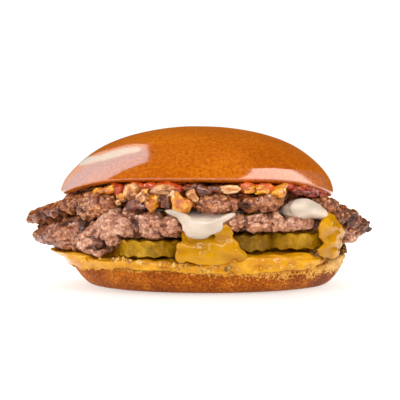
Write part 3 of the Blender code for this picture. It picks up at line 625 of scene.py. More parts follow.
# Angle, reach, height, half width, half depth, half height and tilt of its crags, and how brown each is
LOWER_CRAGS = [
    (-125.6, 52.6, 25.0, 7.8, 6.4, 5.9, 10.0, 0.05), (-128.5, 53.4, 20.8, 5.6, 5.4, 3.8, 0.0, 0.05),
    (-118.5, 52.2, 29.8, 4.0, 5.0, 2.6, 0.0, 0.30), (-109.5, 52.4, 24.8, 5.8, 6.2, 5.4, 0.0, 0.30),
    (-101.5, 51.8, 24.6, 4.6, 6.0, 4.6, -8.0, 0.40), (-97.2, 52.2, 24.2, 2.4, 4.4, 2.3, -20.0, 0.95),
    (-137.0, 54.4, 16.9, 5.2, 5.8, 3.9, 0.0, 0.20), (-135.5, 55.0, 21.6, 2.3, 3.8, 2.2, 0.0, 0.45),
    (-133.5, 55.4, 15.4, 4.2, 4.4, 2.4, 0.0, 0.10), (-150.5, 54.4, 20.2, 5.6, 5.8, 5.6, 0.0, 0.58),
    (-151.5, 54.8, 24.2, 4.0, 4.8, 2.4, 0.0, 0.85), (-163.5, 57.6, 19.4, 5.4, 5.8, 4.0, 0.0, 0.75),
    (-174.5, 60.4, 19.4, 4.8, 5.6, 3.6, 0.0, 0.65), (176.0, 63.0, 19.4, 4.0, 3.8, 3.6, 0.0, 0.70),
    (-178.5, 62.6, 19.0, 3.4, 4.2, 3.6, 0.0, 0.50), (-84.5, 52.4, 25.0, 3.0, 5.4, 2.6, 18.0, 0.60),
    (-77.5, 53.0, 25.9, 5.6, 5.6, 3.3, 6.0, 0.40), (-68.0, 53.6, 25.8, 5.6, 5.8, 3.5, 0.0, 0.25),
    (-59.5, 53.0, 26.2, 3.8, 5.8, 3.5, 8.0, 0.35), (-52.0, 53.0, 25.2, 4.8, 5.8, 3.2, 0.0, 0.05),
    (-44.0, 52.0, 25.6, 4.6, 5.6, 3.3, -6.0, 0.20),
]
# Angle, height, half width in degrees, half height and depth of the gaps between its crags, which are
# pushed in and painted dark with shade
LOWER_GAPS = [(-143.8, 19.5, 1.7, 6.5, 2.4), (-130.8, 18.6, 1.3, 4.5, 2.0), (-141.0, 25.5, 3.6, 3.8, 4.2),
              (-157.3, 19.5, 1.4, 5.0, 1.8), (-114.4, 24.5, 1.1, 4.5, 1.5), (-92.0, 23.5, 1.2, 3.0, 1.2)]


def hidden_crags(node, start, end, seed):
    """Crags along the back of a patty, between two angles, by a seeded draw."""
    draw = random.Random(seed)
    surface = surface_of(frame["nodes"][node].data)
    crags = []
    angle = start
    while angle < end:
        half_wide = draw.uniform(3.0, 5.6)
        under = around(angle, 46.0, 0.0)
        top = surface.ray_cast(under + Vector((0.0, 0.0, 0.1)), Vector((0.0, 0.0, -1.0)))[0].z / MM
        foot = surface.ray_cast(under, Vector((0.0, 0.0, 1.0)))[0].z / MM
        height = foot + (top - foot) * draw.uniform(0.38, 0.62)
        reach = reach_of(met_inwards(surface, angle, height)) / MM
        half_tall = 0.5 * (top - foot) * draw.uniform(0.6, 0.95)
        tilt = draw.uniform(-15.0, 15.0)
        brown = draw.uniform(0.05, 0.8)
        crags.append((angle, reach - BACK_CRAG_INSET, height, half_wide, BACK_CRAG_DEPTH, half_tall,
                      tilt, brown))
        angle += half_wide * draw.uniform(1.3, 1.9)
    return crags


def granules(spot, size, seed):
    """Height of close-packed lumps about size mm across, from 0 in the creases to 1 on top."""
    near = noise.voronoi(spot / size + Vector((seed, seed, seed)))[0]
    crease = min(1.0, (near[1] - near[0]) / 0.3)
    return crease * (2.0 - crease) * (1.0 - 0.6 * near[0] ** 2)


def meat_relief(seed):
    """Minced meat: bent strands a few mm across, grit on them, soft smooth places and a few pits, with a
    tone that paints shade in the creases and pits and highlights on the tops.
    """
    away = Vector((0.0, 0.0, seed))

    def relief(spot, facing):
        shown = ramp(39.0, 45.0, reach_of(spot))
        if shown == 0.0:
            return 0.0, 0.5
        bent = spot + 2.6 * drift(spot * 0.16 + away)
        rough = ramp(-0.4, 0.4, noise.noise(spot * 0.13 + away))
        coarse = granules(Vector((bent.x, bent.y, 1.3 * bent.z)), 4.2, seed)
        grit = granules(bent, 1.5, seed + 5.0)
        swell = noise.noise(spot * 0.24 + away)
        pit = ramp(0.28, 0.55, noise.noise(spot * 0.5 - away))
        lift = (0.32 + 0.6 * rough) * (coarse - 0.7) + (0.06 + 0.44 * rough) * (grit - 0.7)
        lift += 1.1 * swell - 1.1 * pit
        tone = (0.5 * coarse + 0.5 * grit) * (1.0 - 0.6 * pit)
        return lift * shown, tone + 0.35 * (1.0 - rough) * (0.66 - tone)
    return relief


def crag_values(piece, crags, gaps):
    """For each point, how brown its nearest crag is and how far it lies in a seam or gap between two, which
    is painted dark with shade.

    A point's distance from a crag is 0 at its middle and 1 at its skin, and the nearest count most.
    """
    frames = [(seated(*crag[:7]).inverted(), crag[7]) for crag in crags]
    browns = []
    seams = []
    for corner in piece.data.vertices:
        if reach_of(corner.co) < CRAGS_START * MM:
            browns.append(0.5)
            seams.append(0.0)
            continue
        total = 1e-9
        brown = 0.0
        first = second = 9.0
        for inverse, share in frames:
            away = (inverse @ corner.co).length
            if away < 2.6:
                weight = 1.0 / (0.05 + away) ** 8
                total += weight
                brown += weight * share
                if away < first:
                    first, second = away, first
                elif away < second:
                    second = away
        browns.append(brown / total)
        outside = ramp(48.0, 51.0, reach_of(corner.co) / MM)
        open_here = ramp(-0.3, 0.15, noise.noise(corner.co * 110.0))
        between = ramp(0.24, 0.0, second - first) * ramp(1.8, 1.3, second) * (0.15 + 0.85 * open_here)
        bare = 0.35 * ramp(1.05, 1.5, first)
        seam = max(between, bare) * outside
        angle = angle_of(corner.co) + 1.2 * noise.noise(corner.co * 260.0)
        height = corner.co.z / MM + 1.2 * noise.noise(corner.co * 230.0)
        for middle, level, wide, tall, deep in gaps:
            off = math.hypot((angle - middle) / wide, (height - level) / tall)
            seam = max(seam, ramp(1.3, 0.5, off) * deep / SEAM_DEPTH)
        seams.append(seam)
    keep_values(piece, "brown", browns)
    keep_values(piece, "seam", seams)
    return seams


def fried_beef(name, seared):
    """Moist fried mince with painted highlights on the crags and painted shade in the creases, pinkish
    where least fried.
    """
    material, tree, shader = new_material(name, 0.4, 0.6, 0.17, 0.35)
    soften(shader, 0.06, (2.0, 0.8, 0.5))
    patches = use_group(tree, mottle, patch=170.0, grain=900.0, share=0.5)["Mask"]
    grain = use_group(tree, mottle, patch=640.0, grain=1900.0, share=0.5)["Mask"]
    mixed = calculate(tree, "ADD", calculate(tree, "MULTIPLY", kept(tree, "tone"), 0.6),
                      calculate(tree, "MULTIPLY", grain, 0.4))
    # The ramps run from painted shade in the creases and pits to painted highlights on the crag tops.
    pink = colour_ramp(tree, mixed, [(0.14, (0.07, 0.015, 0.007)), (0.38, (0.35, 0.125, 0.065)),
                                     (0.64, (0.68, 0.335, 0.205)), (0.86, (0.95, 0.640, 0.450))])
    brown = colour_ramp(tree, mixed, [(0.14, (0.020, 0.004, 0.001)), (0.42, (0.20, 0.044, 0.008)),
                                      (0.66, (0.47, 0.145, 0.036)), (0.86, (0.90, 0.480, 0.180))])
    share = calculate(tree, "ADD", kept(tree, "brown"), reach_over(tree, patches, 0.0, 1.0, -0.4, 0.4))
    meat = blend_colours(tree, reach_over(tree, share, 0.15 - seared, 0.85 - seared), pink, brown)
    char = reach_over(tree, share, 0.85, 1.25, 0.0, 0.9)
    charred = blend_colours(tree, char, meat, (0.050, 0.012, 0.008))
    # Painted shade: the seams and gaps between the crags are darkened nearly to black.
    in_seam = reach_over(tree, kept(tree, "seam"), 0.3, 1.1, 0.0, 0.85)
    tree.links.new(blend_colours(tree, in_seam, charred, (0.06, 0.016, 0.006)), shader.inputs["Base Color"])
    ripples = use_group(tree, wet, scale=900.0, detail=5.0)
    tree.links.new(reach_over(tree, ripples["Shine"], 0.0, 1.0, 0.55, 0.22), shader.inputs["Roughness"])
    tree.links.new(reach_over(tree, ripples["Shine"], 0.0, 1.0, 0.1, 1.0), shader.inputs["Coat Weight"])
    bump(tree, shader, calculate(tree, "ADD", grain, ripples["Height"]), 0.3)
    return material


lower_crags = LOWER_CRAGS + hidden_crags("lower_patty", -33.0, 170.0, 41)
lower_patty = even_copy("lower_patty", "lower_patty_beef", PATTY_VOXEL, PATTY_ROUNDS,
                        [crag[:7] for crag in lower_crags])
thin_inside(lower_patty)
raise_skin(lower_patty, meat_relief(3.0), crag_values(lower_patty, lower_crags, LOWER_GAPS), SEAM_DEPTH)
lower_patty.data.materials.append(fried_beef("lower_beef", 0.0))
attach(lower_patty, "root")
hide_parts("lower_patty")


# Yellow cheese
# A slice of processed cheese laid on the lower patty while it was hot.
# It melted into glossy runs, down the front over the pickles and down the right side.
CHEESE_VOXEL = 0.45
CHEESE_ROUNDS = 8
# Angle of the middle of the run at the right
TONGUE_MIDDLE = -34.0
# Its thicker places, with columns as for the sauce
YELLOW_BULGES = [
    (-81.5, 57.6, 22.4, 3.8, 1.5, 3.0, 10.0), (-91.5, 56.4, 21.8, 2.6, 1.4, 2.2, 0.0),
    (-79.5, 58.2, 17.6, 3.4, 1.4, 3.4, -30.0), (-75.5, 57.8, 14.0, 2.4, 1.3, 2.6, -35.0),
    (-96.5, 58.0, 15.4, 2.6, 1.3, 3.6, 0.0), (-88.0, 58.6, 14.0, 5.4, 1.4, 2.6, 4.0),
    (-34.0, 60.2, 21.0, 4.6, 2.0, 1.7, -16.0), (-34.5, 60.2, 14.8, 3.8, 2.0, 2.2, -10.0),
]


def melted_cheese(name, light, deep, rough):
    """Melted cheese with a greasy gloss, patchy between its light and deep colour, with painted shade in
    the hollows between its folds.
    """
    material, tree, shader = new_material(name, rough, 0.36, 0.08, 0.1)
    soften(shader, 0.2, (3.0, 2.0, 0.5))
    patches = use_group(tree, mottle, patch=80.0, grain=300.0, share=0.3)["Mask"]
    colour = blend_colours(tree, patches, deep, light)
    # Painted shade: the low places between the folds are darkened.
    folded = blend_colours(tree, kept(tree, "tone"), tuple(0.7 * part for part in deep), colour)
    tree.links.new(folded, shader.inputs["Base Color"])
    bump(tree, shader, use_group(tree, wet, scale=260.0, detail=2.0)["Height"], 0.22)
    return material


def cheese_relief(depth):
    """Slow waves and thick folds of melted cheese, depth mm deep, with a tone that paints shade in the
    hollows between folds.
    """
    def relief(spot, facing):
        shown = ramp(48.0, 52.0, reach_of(spot))
        fold = noise.noise(Vector((spot.x * 0.16, spot.y * 0.16, spot.z * 0.36)))
        bubble = noise.noise(spot * 0.5)
        return depth * (fold + 0.3 * bubble) * shown, min(1.0, max(0.0, 0.65 + 0.8 * fold))
    return relief


def turn_tongue(piece):
    """Swing the run at the right like a twisted strip: narrow above, wide below and pinched between."""
    for corner in piece.data.vertices:
        spot = corner.co / MM
        angle = angle_of(spot)
        reach = reach_of(spot)
        share = ramp(54.0, 56.5, reach) * ramp(-52.0, -48.0, angle) * ramp(-18.0, -22.0, angle)
        if share == 0.0:
            continue
        swing = 4.0 * ramp(27.0, 20.5, spot.z) - 3.0 * ramp(18.5, 13.0, spot.z) - 2.2
        pinch = 1.0 - 0.22 * ramp(22.0, 27.0, spot.z) - 0.30 * max(0.0, 1.0 - abs(spot.z - 17.6) / 2.2)
        turned = TONGUE_MIDDLE + swing + (angle - TONGUE_MIDDLE) * pinch
        corner.co = around(angle + (turned - angle) * share, reach, spot.z)


yellow_cheese = even_copy("yellow_cheese", "yellow_cheese_melt", CHEESE_VOXEL, CHEESE_ROUNDS, YELLOW_BULGES)
turn_tongue(yellow_cheese)
raise_skin(yellow_cheese, cheese_relief(0.75))
yellow_cheese.data.materials.append(
    melted_cheese("yellow_melt", (0.69, 0.335, 0.002), (0.52, 0.22, 0.001), 0.26))
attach(yellow_cheese, "root")
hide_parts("yellow_cheese")


# White cheese
# A slice of mild white cheese on the yellow one, under the upper patty.
# It hangs over the front in a star with two arms, and swells out in a round blob at the right.
# The star's lobes and the blob, with columns as for the sauce
WHITE_BULGES = [
    (-98.5, 57.2, 29.2, 4.6, 1.5, 1.4, -14.0), (-95.5, 57.0, 27.2, 3.2, 1.5, 2.2, -30.0),
    (-81.5, 57.2, 27.4, 5.0, 1.4, 1.2, 24.0), (-85.0, 57.2, 25.6, 3.4, 1.5, 2.0, 30.0),
    (-90.5, 57.8, 22.8, 5.2, 1.6, 3.0, 0.0), (-48.0, 57.6, 30.6, 7.8, 3.6, 3.8, -4.0),
    (-43.5, 57.9, 29.9, 5.4, 3.2, 3.1, -14.0), (-40.0, 58.2, 28.8, 4.4, 2.8, 2.4, -24.0),
]
white_cheese = even_copy("white_cheese", "white_cheese_melt", CHEESE_VOXEL, CHEESE_ROUNDS, WHITE_BULGES)
raise_skin(white_cheese, cheese_relief(0.3))
white_cheese.data.materials.append(
    melted_cheese("white_melt", (0.69, 0.57, 0.455), (0.65, 0.53, 0.43), 0.3))
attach(white_cheese, "root")
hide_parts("white_cheese")


# Upper patty
# The second smashed beef patty, browner than the lower one.
# It is wider than the bun: ragged at the left, and folded down with a crisp dark edge at the right.
# Its crags and the gaps between them, with columns as for the lower patty; the gaps are painted dark with
# shade, and the one at -74 paints a shadowed hollow
UPPER_CRAGS = [
    (-136.6, 52.6, 31.6, 7.6, 6.4, 4.8, 0.0, 0.55), (-128.6, 52.4, 33.0, 4.2, 5.6, 3.2, 8.0, 0.60),
    (-141.0, 53.0, 28.8, 4.6, 5.4, 2.8, 0.0, 0.35), (-147.5, 53.6, 31.8, 3.8, 5.2, 3.7, 0.0, 0.75),
    (-152.0, 54.2, 31.2, 4.4, 5.4, 3.6, 0.0, 0.50), (-159.0, 55.6, 28.6, 3.8, 5.4, 4.4, 0.0, 0.75),
    (-168.0, 57.6, 27.6, 5.4, 5.8, 4.4, 0.0, 0.60), (-178.0, 60.6, 26.2, 4.6, 5.6, 3.5, 0.0, 0.50),
    (178.5, 66.8, 25.8, 2.8, 3.0, 3.6, 0.0, 0.60), (-173.5, 63.6, 26.0, 4.0, 3.6, 3.6, 0.0, 0.60),
    (-149.5, 54.4, 33.2, 3.4, 4.6, 1.6, 10.0, 0.60), (-160.5, 51.6, 33.7, 4.8, 4.6, 2.2, 12.0, 0.55),
    (-30.5, 57.5, 32.0, 3.0, 4.0, 2.4, -15.0, 1.10),
    (171.0, 63.4, 26.0, 4.4, 3.6, 3.6, 0.0, 0.70), (-83.6, 52.8, 32.7, 8.8, 6.2, 3.9, 3.0, 0.32),
    (-76.8, 53.4, 32.6, 3.4, 5.4, 3.4, 0.0, 0.35), (-71.5, 52.0, 32.6, 5.4, 5.4, 3.4, -4.0, 0.90),
    (-63.0, 53.0, 33.0, 5.2, 5.6, 3.4, 4.0, 0.45), (-57.8, 50.8, 33.2, 2.8, 5.0, 3.2, 0.0, 0.60),
    (-34.0, 55.2, 31.0, 4.6, 6.0, 3.8, -8.0, 0.75), (-26.5, 57.4, 28.0, 4.6, 6.0, 3.6, -10.0, 1.05),
    (-18.0, 60.0, 25.6, 4.6, 5.8, 3.6, -12.0, 1.10), (-9.5, 61.2, 23.6, 4.8, 5.6, 3.7, -8.0, 1.15),
    (-1.0, 63.8, 22.6, 4.0, 4.6, 3.3, 0.0, 1.20), (6.5, 63.4, 22.4, 3.6, 4.6, 3.3, 0.0, 1.10),
    (-3.0, 67.0, 21.2, 2.4, 2.0, 1.8, -8.0, 1.20),
    (-15.5, 58.4, 20.4, 4.0, 4.6, 4.2, 0.0, 0.00), (-8.0, 59.4, 19.4, 3.8, 4.6, 3.6, 0.0, 0.10),
]
UPPER_GAPS = [(-152.8, 29.5, 1.3, 5.0, 1.7), (-142.4, 31.0, 1.1, 5.0, 1.5), (-74.0, 31.8, 2.8, 2.4, 1.4),
              (-163.0, 26.0, 1.2, 3.5, 1.3), (-21.5, 27.5, 1.2, 4.0, 1.3)]
upper_crags = UPPER_CRAGS + hidden_crags("upper_patty", 14.0, 170.0, 43)
upper_patty = even_copy("upper_patty", "upper_patty_beef", PATTY_VOXEL, PATTY_ROUNDS,
                        [crag[:7] for crag in upper_crags])
thin_inside(upper_patty)
raise_skin(upper_patty, meat_relief(11.0), crag_values(upper_patty, upper_crags, UPPER_GAPS), SEAM_DEPTH)
upper_patty.data.materials.append(fried_beef("upper_beef", 0.32))
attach(upper_patty, "root")
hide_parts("upper_patty")


# Fried onions
# Chopped onion fried until golden and brown, in its own sticky juice.
# It lies on the upper patty and fills the dip at the front, where its pieces show one by one.
ONION_VOXEL = 0.5
ONION_ROUNDS = 2
# Angle, reach, height, half width, half depth, half height and tilt of the pieces that show, by kind
ONION_PIECES = {
    "cream": [(-116.4, 55.2, 37.2, 2.5, 2.2, 2.9, 8.0), (-104.0, 55.4, 37.6, 4.1, 2.0, 1.5, 8.0),
              (-79.0, 55.4, 38.0, 3.6, 1.8, 1.25, 0.0), (-99.5, 55.6, 36.0, 1.8, 1.8, 1.3, -30.0),
              (-111.8, 55.8, 34.8, 1.6, 1.8, 1.8, 30.0), (-92.8, 55.6, 35.6, 1.6, 1.7, 2.2, 40.0)],
    "golden": [(-108.2, 55.6, 33.4, 2.9, 2.3, 3.0, -6.0), (-97.2, 55.6, 33.4, 3.6, 2.4, 2.9, -16.0),
               (-58.2, 55.0, 37.2, 3.3, 2.0, 2.0, 28.0), (-127.5, 54.6, 37.6, 3.2, 2.0, 1.3, 10.0),
               (-133.5, 54.0, 36.8, 2.6, 1.9, 1.2, 16.0), (-121.0, 55.0, 35.2, 1.8, 1.8, 1.5, 0.0),
               (-66.5, 55.2, 37.4, 3.0, 1.9, 1.4, -8.0), (-71.5, 55.2, 37.8, 2.0, 1.7, 1.2, 12.0)],
    "glazed": [(-114.6, 55.6, 32.4, 3.4, 2.3, 2.1, 8.0), (-102.6, 55.4, 33.2, 2.1, 2.2, 2.6, 10.0),
               (-88.6, 54.6, 37.2, 3.0, 1.9, 1.9, -12.0), (-84.6, 54.8, 38.2, 2.2, 1.7, 1.1, 0.0),
               (-93.5, 54.8, 38.4, 2.4, 1.8, 1.2, 8.0)],
    "red": [(-48.0, 54.6, 37.2, 3.6, 2.0, 1.5, -12.0), (-38.0, 54.0, 36.6, 3.4, 1.9, 1.5, -18.0),
            (-30.0, 53.6, 35.2, 2.8, 1.9, 1.4, -22.0), (-43.0, 54.6, 36.0, 2.6, 1.7, 1.0, -20.0)],
}
# First and last angle, lowest and highest place and number of the small bits of each kind
ONION_BITS = {
    "cream": [(-124.0, -88.0, 31.5, 38.5, 26), (-84.0, -52.0, 36.5, 39.0, 6)],
    "golden": [(-134.0, -88.0, 32.0, 38.5, 44), (-84.0, -50.0, 36.0, 39.0, 26),
               (20.0, 160.0, 33.0, 38.0, 40)],
    "glazed": [(-124.0, -86.0, 31.0, 38.5, 44), (-86.0, -50.0, 36.5, 39.0, 14),
               (20.0, 160.0, 33.0, 38.0, 40)],
    "red": [(-52.0, -26.0, 34.0, 38.5, 22), (-110.0, -90.0, 35.0, 38.5, 8)],
}
# Half sizes of the small bits, and how far out they start
ONION_BIT_SIZES = (0.55, 1.3)
ONION_BITS_REACH = 50.0
# The light and the deep colour of each kind
ONION_COLOURS = {
    "cream": ((0.90, 0.58, 0.28), (0.50, 0.17, 0.035)),
    "golden": ((0.92, 0.45, 0.030), (0.50, 0.120, 0.002)),
    "glazed": ((0.30, 0.080, 0.030), (0.070, 0.012, 0.008)),
    "red": ((0.50, 0.10, 0.06), (0.17, 0.016, 0.012)),
}


def onion_glaze(name, light, deep):
    """Juicy onion: pale along its edges and deeper in the middle of each face."""
    material, tree, shader = new_material(name, 0.25, 1.0, 0.11, 0.3)
    soften(shader, 0.45, (3.0, 1.6, 0.5))
    patches = use_group(tree, mottle, patch=560.0, grain=1600.0, share=0.4)["Mask"]
    share = calculate(tree, "ADD", calculate(tree, "MULTIPLY", kept(tree, "tone"), 0.65),
                      calculate(tree, "MULTIPLY", patches, 0.4))
    dark = tuple(0.35 * part for part in deep)
    tree.links.new(colour_ramp(tree, share, [(0.1, dark), (0.4, deep), (0.85, light)]),
                   shader.inputs["Base Color"])
    bump(tree, shader, use_group(tree, wet, scale=520.0, detail=4.0)["Height"], 0.5)
    return material


def onion_relief(spot, facing):
    """A heap of small soft pieces, sunk in juice, which lies back where the front pieces are set in it; its
    tone paints shade in the creases between the lumps.
    """
    shown = ramp(42.0, 47.0, reach_of(spot))
    lumps = granules(spot + 0.8 * drift(spot * 0.7), 2.4, 21.0)
    rough = noise.noise(spot * 0.5)
    angle = angle_of(spot)
    in_dip = ramp(-126.0, -121.0, angle) * ramp(-86.0, -92.0, angle) * shown
    lift = (1.0 - 0.4 * in_dip) * (0.45 * (lumps - 0.7) + 0.5 * rough + 0.3 * noise.noise(spot * 1.6))
    lift -= 2.0 * in_dip
    return lift * shown, 0.35 + 0.5 * lumps + 0.5 * rough


def add_onion(heap, tones, place, draw):
    """Add one diced piece to a heap: a bent, bevelled block with soft uneven edges."""
    shape = bmesh.new()
    bmesh.ops.create_cube(shape, size=2.0)
    bmesh.ops.bevel(shape, geom=shape.edges[:], offset=0.5, offset_type="OFFSET", affect="EDGES",
                    segments=2, profile=0.5, material=-1)
    bmesh.ops.subdivide_edges(shape, edges=shape.edges[:], cuts=2, use_grid_fill=True)
    for smoothing in range(4):
        bmesh.ops.smooth_vert(shape, verts=shape.verts, factor=0.5, use_axis_x=True, use_axis_y=True,
                              use_axis_z=True)
    bend = draw.uniform(-0.4, 0.4)
    wedge = draw.uniform(-0.35, 0.35)
    seed = Vector((draw.uniform(0.0, 50.0), draw.uniform(0.0, 50.0), 0.0))
    for corner in shape.verts:
        corner.co = corner.co.lerp(corner.co.normalized() * 1.15, 0.55)
        sides = sorted(abs(part) for part in corner.co)
        tones.append(0.40 + 0.28 * ramp(0.35, 0.95, sides[1]) + 0.7 * noise.noise(corner.co * 1.2 + seed))
        corner.co.x *= 1.0 + wedge * corner.co.z
        corner.co.z += bend * (corner.co.x ** 2 - 0.4)
        corner.co += 0.5 * drift(corner.co * 0.95 + seed)
        corner.co += 0.16 * drift(corner.co * 3.0 + seed)
    shape.transform(place)
    mesh = bpy.data.meshes.new("onion")
    shape.to_mesh(mesh)
    shape.free()
    heap.from_mesh(mesh)
    bpy.data.meshes.remove(mesh)


def hides_piece(angle, height):
    """Whether a small bit here would lie over one of the larger pieces."""
    for middle, reach, level, half_wide, half_deep, half_tall, tilt in sum(ONION_PIECES.values(), []):
        off = math.hypot(math.radians(angle - middle) * reach / half_wide, (height - level) / half_tall)
        if off < 1.1:
            return True
    return False


onions = even_copy("onions", "onion_heap", ONION_VOXEL, ONION_ROUNDS)
raise_skin(onions, onion_relief)
onions.data.materials.append(onion_glaze("onion_juice", (0.42, 0.13, 0.03), (0.11, 0.020, 0.006)))
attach(onions, "root")
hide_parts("onions")
draw = random.Random(71)
seat = surface_of(onions.data)
for kind, places in ONION_PIECES.items():
    heap = bmesh.new()
    tones = []
    for start, end, low, high, count in ONION_BITS[kind]:
        for bit in range(count):
            angle = draw.uniform(start, end)
            height = draw.uniform(low, high)
            met = met_inwards(seat, angle, height)
            if met is None or met.xy.length < ONION_BITS_REACH * MM or hides_piece(angle, height):
                continue
            sizes = [draw.uniform(*ONION_BIT_SIZES) for side in range(3)]
            tilt = draw.uniform(-60.0, 60.0)
            add_onion(heap, tones, seated(angle, met.xy.length / MM + 0.3, height, *sizes, tilt), draw)
    for place in places:
        add_onion(heap, tones, seated(*place), draw)
    bmesh.ops.recalc_face_normals(heap, faces=heap.faces)
    pieces = piece_from(heap, "onion_" + kind)
    keep_values(pieces, "tone", tones)
    pieces.data.materials.append(onion_glaze("onion_" + kind, *ONION_COLOURS[kind]))
    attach(pieces, "root")


# Ketchup
# Thick tomato ketchup squeezed on the onions.
# The crown presses it out in glossy lumps along the front.
KETCHUP_VOXEL = 0.5
KETCHUP_ROUNDS = 4
# Its lumps, with columns as for the sauce
KETCHUP_BULGES = [
    (-123.0, 54.2, 37.2, 2.4, 2.4, 2.6, 0.0), (-125.5, 53.6, 38.6, 3.2, 2.2, 1.4, 10.0),
    (-116.0, 53.4, 39.2, 4.2, 2.2, 1.3, 0.0), (-109.0, 53.8, 38.6, 3.0, 2.4, 2.0, 0.0),
    (-103.0, 53.6, 39.4, 4.8, 2.2, 1.2, 0.0), (-99.0, 53.8, 37.6, 2.2, 2.2, 2.2, -20.0),
    (-92.0, 53.4, 38.6, 4.0, 2.2, 1.4, 0.0), (-71.0, 53.4, 38.4, 3.6, 2.2, 2.0, 0.0),
    (-64.0, 53.6, 38.2, 4.4, 2.2, 1.9, 0.0), (-52.5, 53.2, 38.8, 3.4, 2.0, 1.2, -12.0),
    (-44.0, 53.4, 37.6, 4.4, 2.0, 1.5, -14.0), (-35.5, 53.2, 36.2, 3.8, 2.0, 1.3, -20.0),
]


def ketchup_gloss():
    """Wet tomato red, brighter and darker in patches."""
    material, tree, shader = new_material("ketchup_gloss", 0.25, 0.8, 0.06, 0.35)
    soften(shader, 0.2, (4.0, 0.8, 0.4))
    patches = use_group(tree, mottle, patch=90.0, grain=500.0, share=0.3)["Mask"]
    tree.links.new(colour_ramp(tree, patches, [(0.0, (0.16, 0.008, 0.001)), (0.5, (0.46, 0.042, 0.002)),
                                               (1.0, (0.74, 0.14, 0.006))]), shader.inputs["Base Color"])
    bump(tree, shader, use_group(tree, wet, scale=420.0)["Height"], 0.5)
    return material


def ketchup_relief(spot, facing):
    """Soft lumps, as of sauce over bits of onion."""
    shown = ramp(44.0, 48.0, reach_of(spot))
    return (0.8 * noise.noise(spot * 0.3) + 0.4 * noise.noise(spot * 0.8)) * shown, 1.0


ketchup = even_copy("ketchup", "ketchup_pool", KETCHUP_VOXEL, KETCHUP_ROUNDS, KETCHUP_BULGES)
raise_skin(ketchup, ketchup_relief)
ketchup.data.materials.append(ketchup_gloss())
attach(ketchup, "root")
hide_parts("ketchup")


# Crown
# The domed top half of the bun. Egg wash gives its orange-brown crust a clear gloss.
# Its cut edge rests on the fillings and hangs a little lower at both sides.
CROWN_LEVELS = 3
CROWN_GLAZE_IOR = 1.8


def crown_crust():
    """Orange-brown crust under a clear glaze, with pale crumb on the cut face."""
    material, tree, shader = new_material("crown_crust", 0.5, 1.0, 0.11, 0.0)
    shader.inputs["Coat IOR"].default_value = CROWN_GLAZE_IOR
    patches = use_group(tree, mottle, patch=34.0, grain=900.0, share=0.55)["Mask"]
    crust = colour_ramp(tree, patches, [(0.0, (0.31, 0.054, 0.0005)), (0.5, (0.45, 0.097, 0.001)),
                                        (1.0, (0.60, 0.155, 0.004))])
    pits = use_group(tree, pores, scale=800.0, width=0.34)["Pit"]
    speckled = blend_colours(tree, calculate(tree, "MULTIPLY", pits, 0.35), crust, (0.26, 0.038, 0.001))
    tree.links.new(blend_colours(tree, kept(tree, "tone"), speckled, (0.80, 0.50, 0.22)),
                   shader.inputs["Base Color"])
    bump(tree, shader, calculate(tree, "SUBTRACT", calculate(tree, "MULTIPLY", patches, 0.8), pits), 0.12)
    return material


def crown_relief(spot, facing):
    """Soft swellings of the dough, none on the cut face, which has a tone of 1."""
    swell = 0.2 * noise.noise(spot * 0.03) + 0.04 * noise.noise(spot * 0.12)
    cut = ramp(-0.8, -0.95, facing.z) * ramp(50.5, 48.5, reach_of(spot))
    return swell * ramp(-0.6, 0.0, facing.z), cut


crown = rounded_copy("crown", "crown_bun", CROWN_LEVELS)
raise_skin(crown, crown_relief)
crown.data.materials.append(crown_crust())
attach(crown, "root")
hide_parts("crown")


# Floor, studio light and camera
# A matt table that glows white, which is painted light, in a ring of soft panels, which light the burger
# from all sides.
# Curved white sheets at the left and right show in the crown's gloss as its two windows, and
# four small panels only glint on the wet fillings.
FLOOR_HALF = 4.0
CAMERA_AWAY = 0.5
CAMERA_UP = 0.045
CAMERA_TILT = 1.4
CAMERA_LENS = 111.6
LIGHT_AIM = Vector((0.0, 0.0, 0.03))
# Name, place, size and brightness of the soft panels, and of the small ones that only glint
SOFT_PANELS = [("left_panel", (-0.56, 0.0, 0.42), (1.2, 0.6), 1.65),
               ("right_panel", (0.46, -0.20, 0.44), (0.4, 0.4), 3.5),
               ("top_panel", (0.0, 0.1, 1.1), (1.0, 1.0), 1.2),
               ("front_panel", (0.0, -1.1, 0.22), (1.5, 0.55), 2.6),
               ("back_panel", (0.0, 1.2, 0.5), (2.0, 0.6), 1.0)]
GLOSS_PANELS = [("gloss_above", (0.05, -0.55, 0.72), (0.75, 0.22), 10.0),
                ("gloss_left", (-0.70, -0.30, 0.40), (0.30, 0.40), 9.0),
                ("gloss_right", (0.65, -0.40, 0.40), (0.20, 0.30), 8.0),
                ("gloss_front", (-0.15, -1.0, 0.45), (0.20, 0.20), 9.0)]
# How far the curved sheets are from the burger, and in how many steps each column of one rises
REFLECTOR_AWAY = 1.2
STRIP_AWAY = 1.15
REFLECTOR_STEPS = 6
# Share of light that the crown's glaze mirrors straight on
CROWN_MIRROR = ((CROWN_GLAZE_IOR - 1.0) / (CROWN_GLAZE_IOR + 1.0)) ** 2
# Light that the parts of the sheets add to the glaze
EDGE_LIGHT = (0.40, 0.24, 0.17)
WINDOW_LIGHT = (0.19, 0.25, 0.28)
STRIP_LIGHT = (0.37, 0.49, 0.44)
RIGHT_LIGHT = (0.50, 0.40, 0.36)
FADED_LIGHT = (0.03, 0.03, 0.03)
# The room's own grey light, the warm tone that glossy surfaces mirror, and the white behind the burger
ROOM_LIGHT = (0.30, 0.30, 0.30)
ROOM_MIRRORED = (0.45, 0.14, 0.02)
ROOM_SEEN = (1.05, 1.05, 1.05)

shape = bmesh.new()
bmesh.ops.create_grid(shape, x_segments=8, y_segments=8, size=FLOOR_HALF)
floor_mesh = bpy.data.meshes.new("floor")
shape.to_mesh(floor_mesh)
shape.free()
floor = bpy.data.objects.new("floor", floor_mesh)
bpy.context.scene.collection.objects.link(floor)
floor_finish, tree, shader = new_material("floor_white", 0.5, specular=0.0)
shader.inputs["Base Color"].default_value = (0.55, 0.53, 0.51, 1.0)
shader.inputs["Emission Color"].default_value = (1.0, 0.965, 0.93, 1.0)
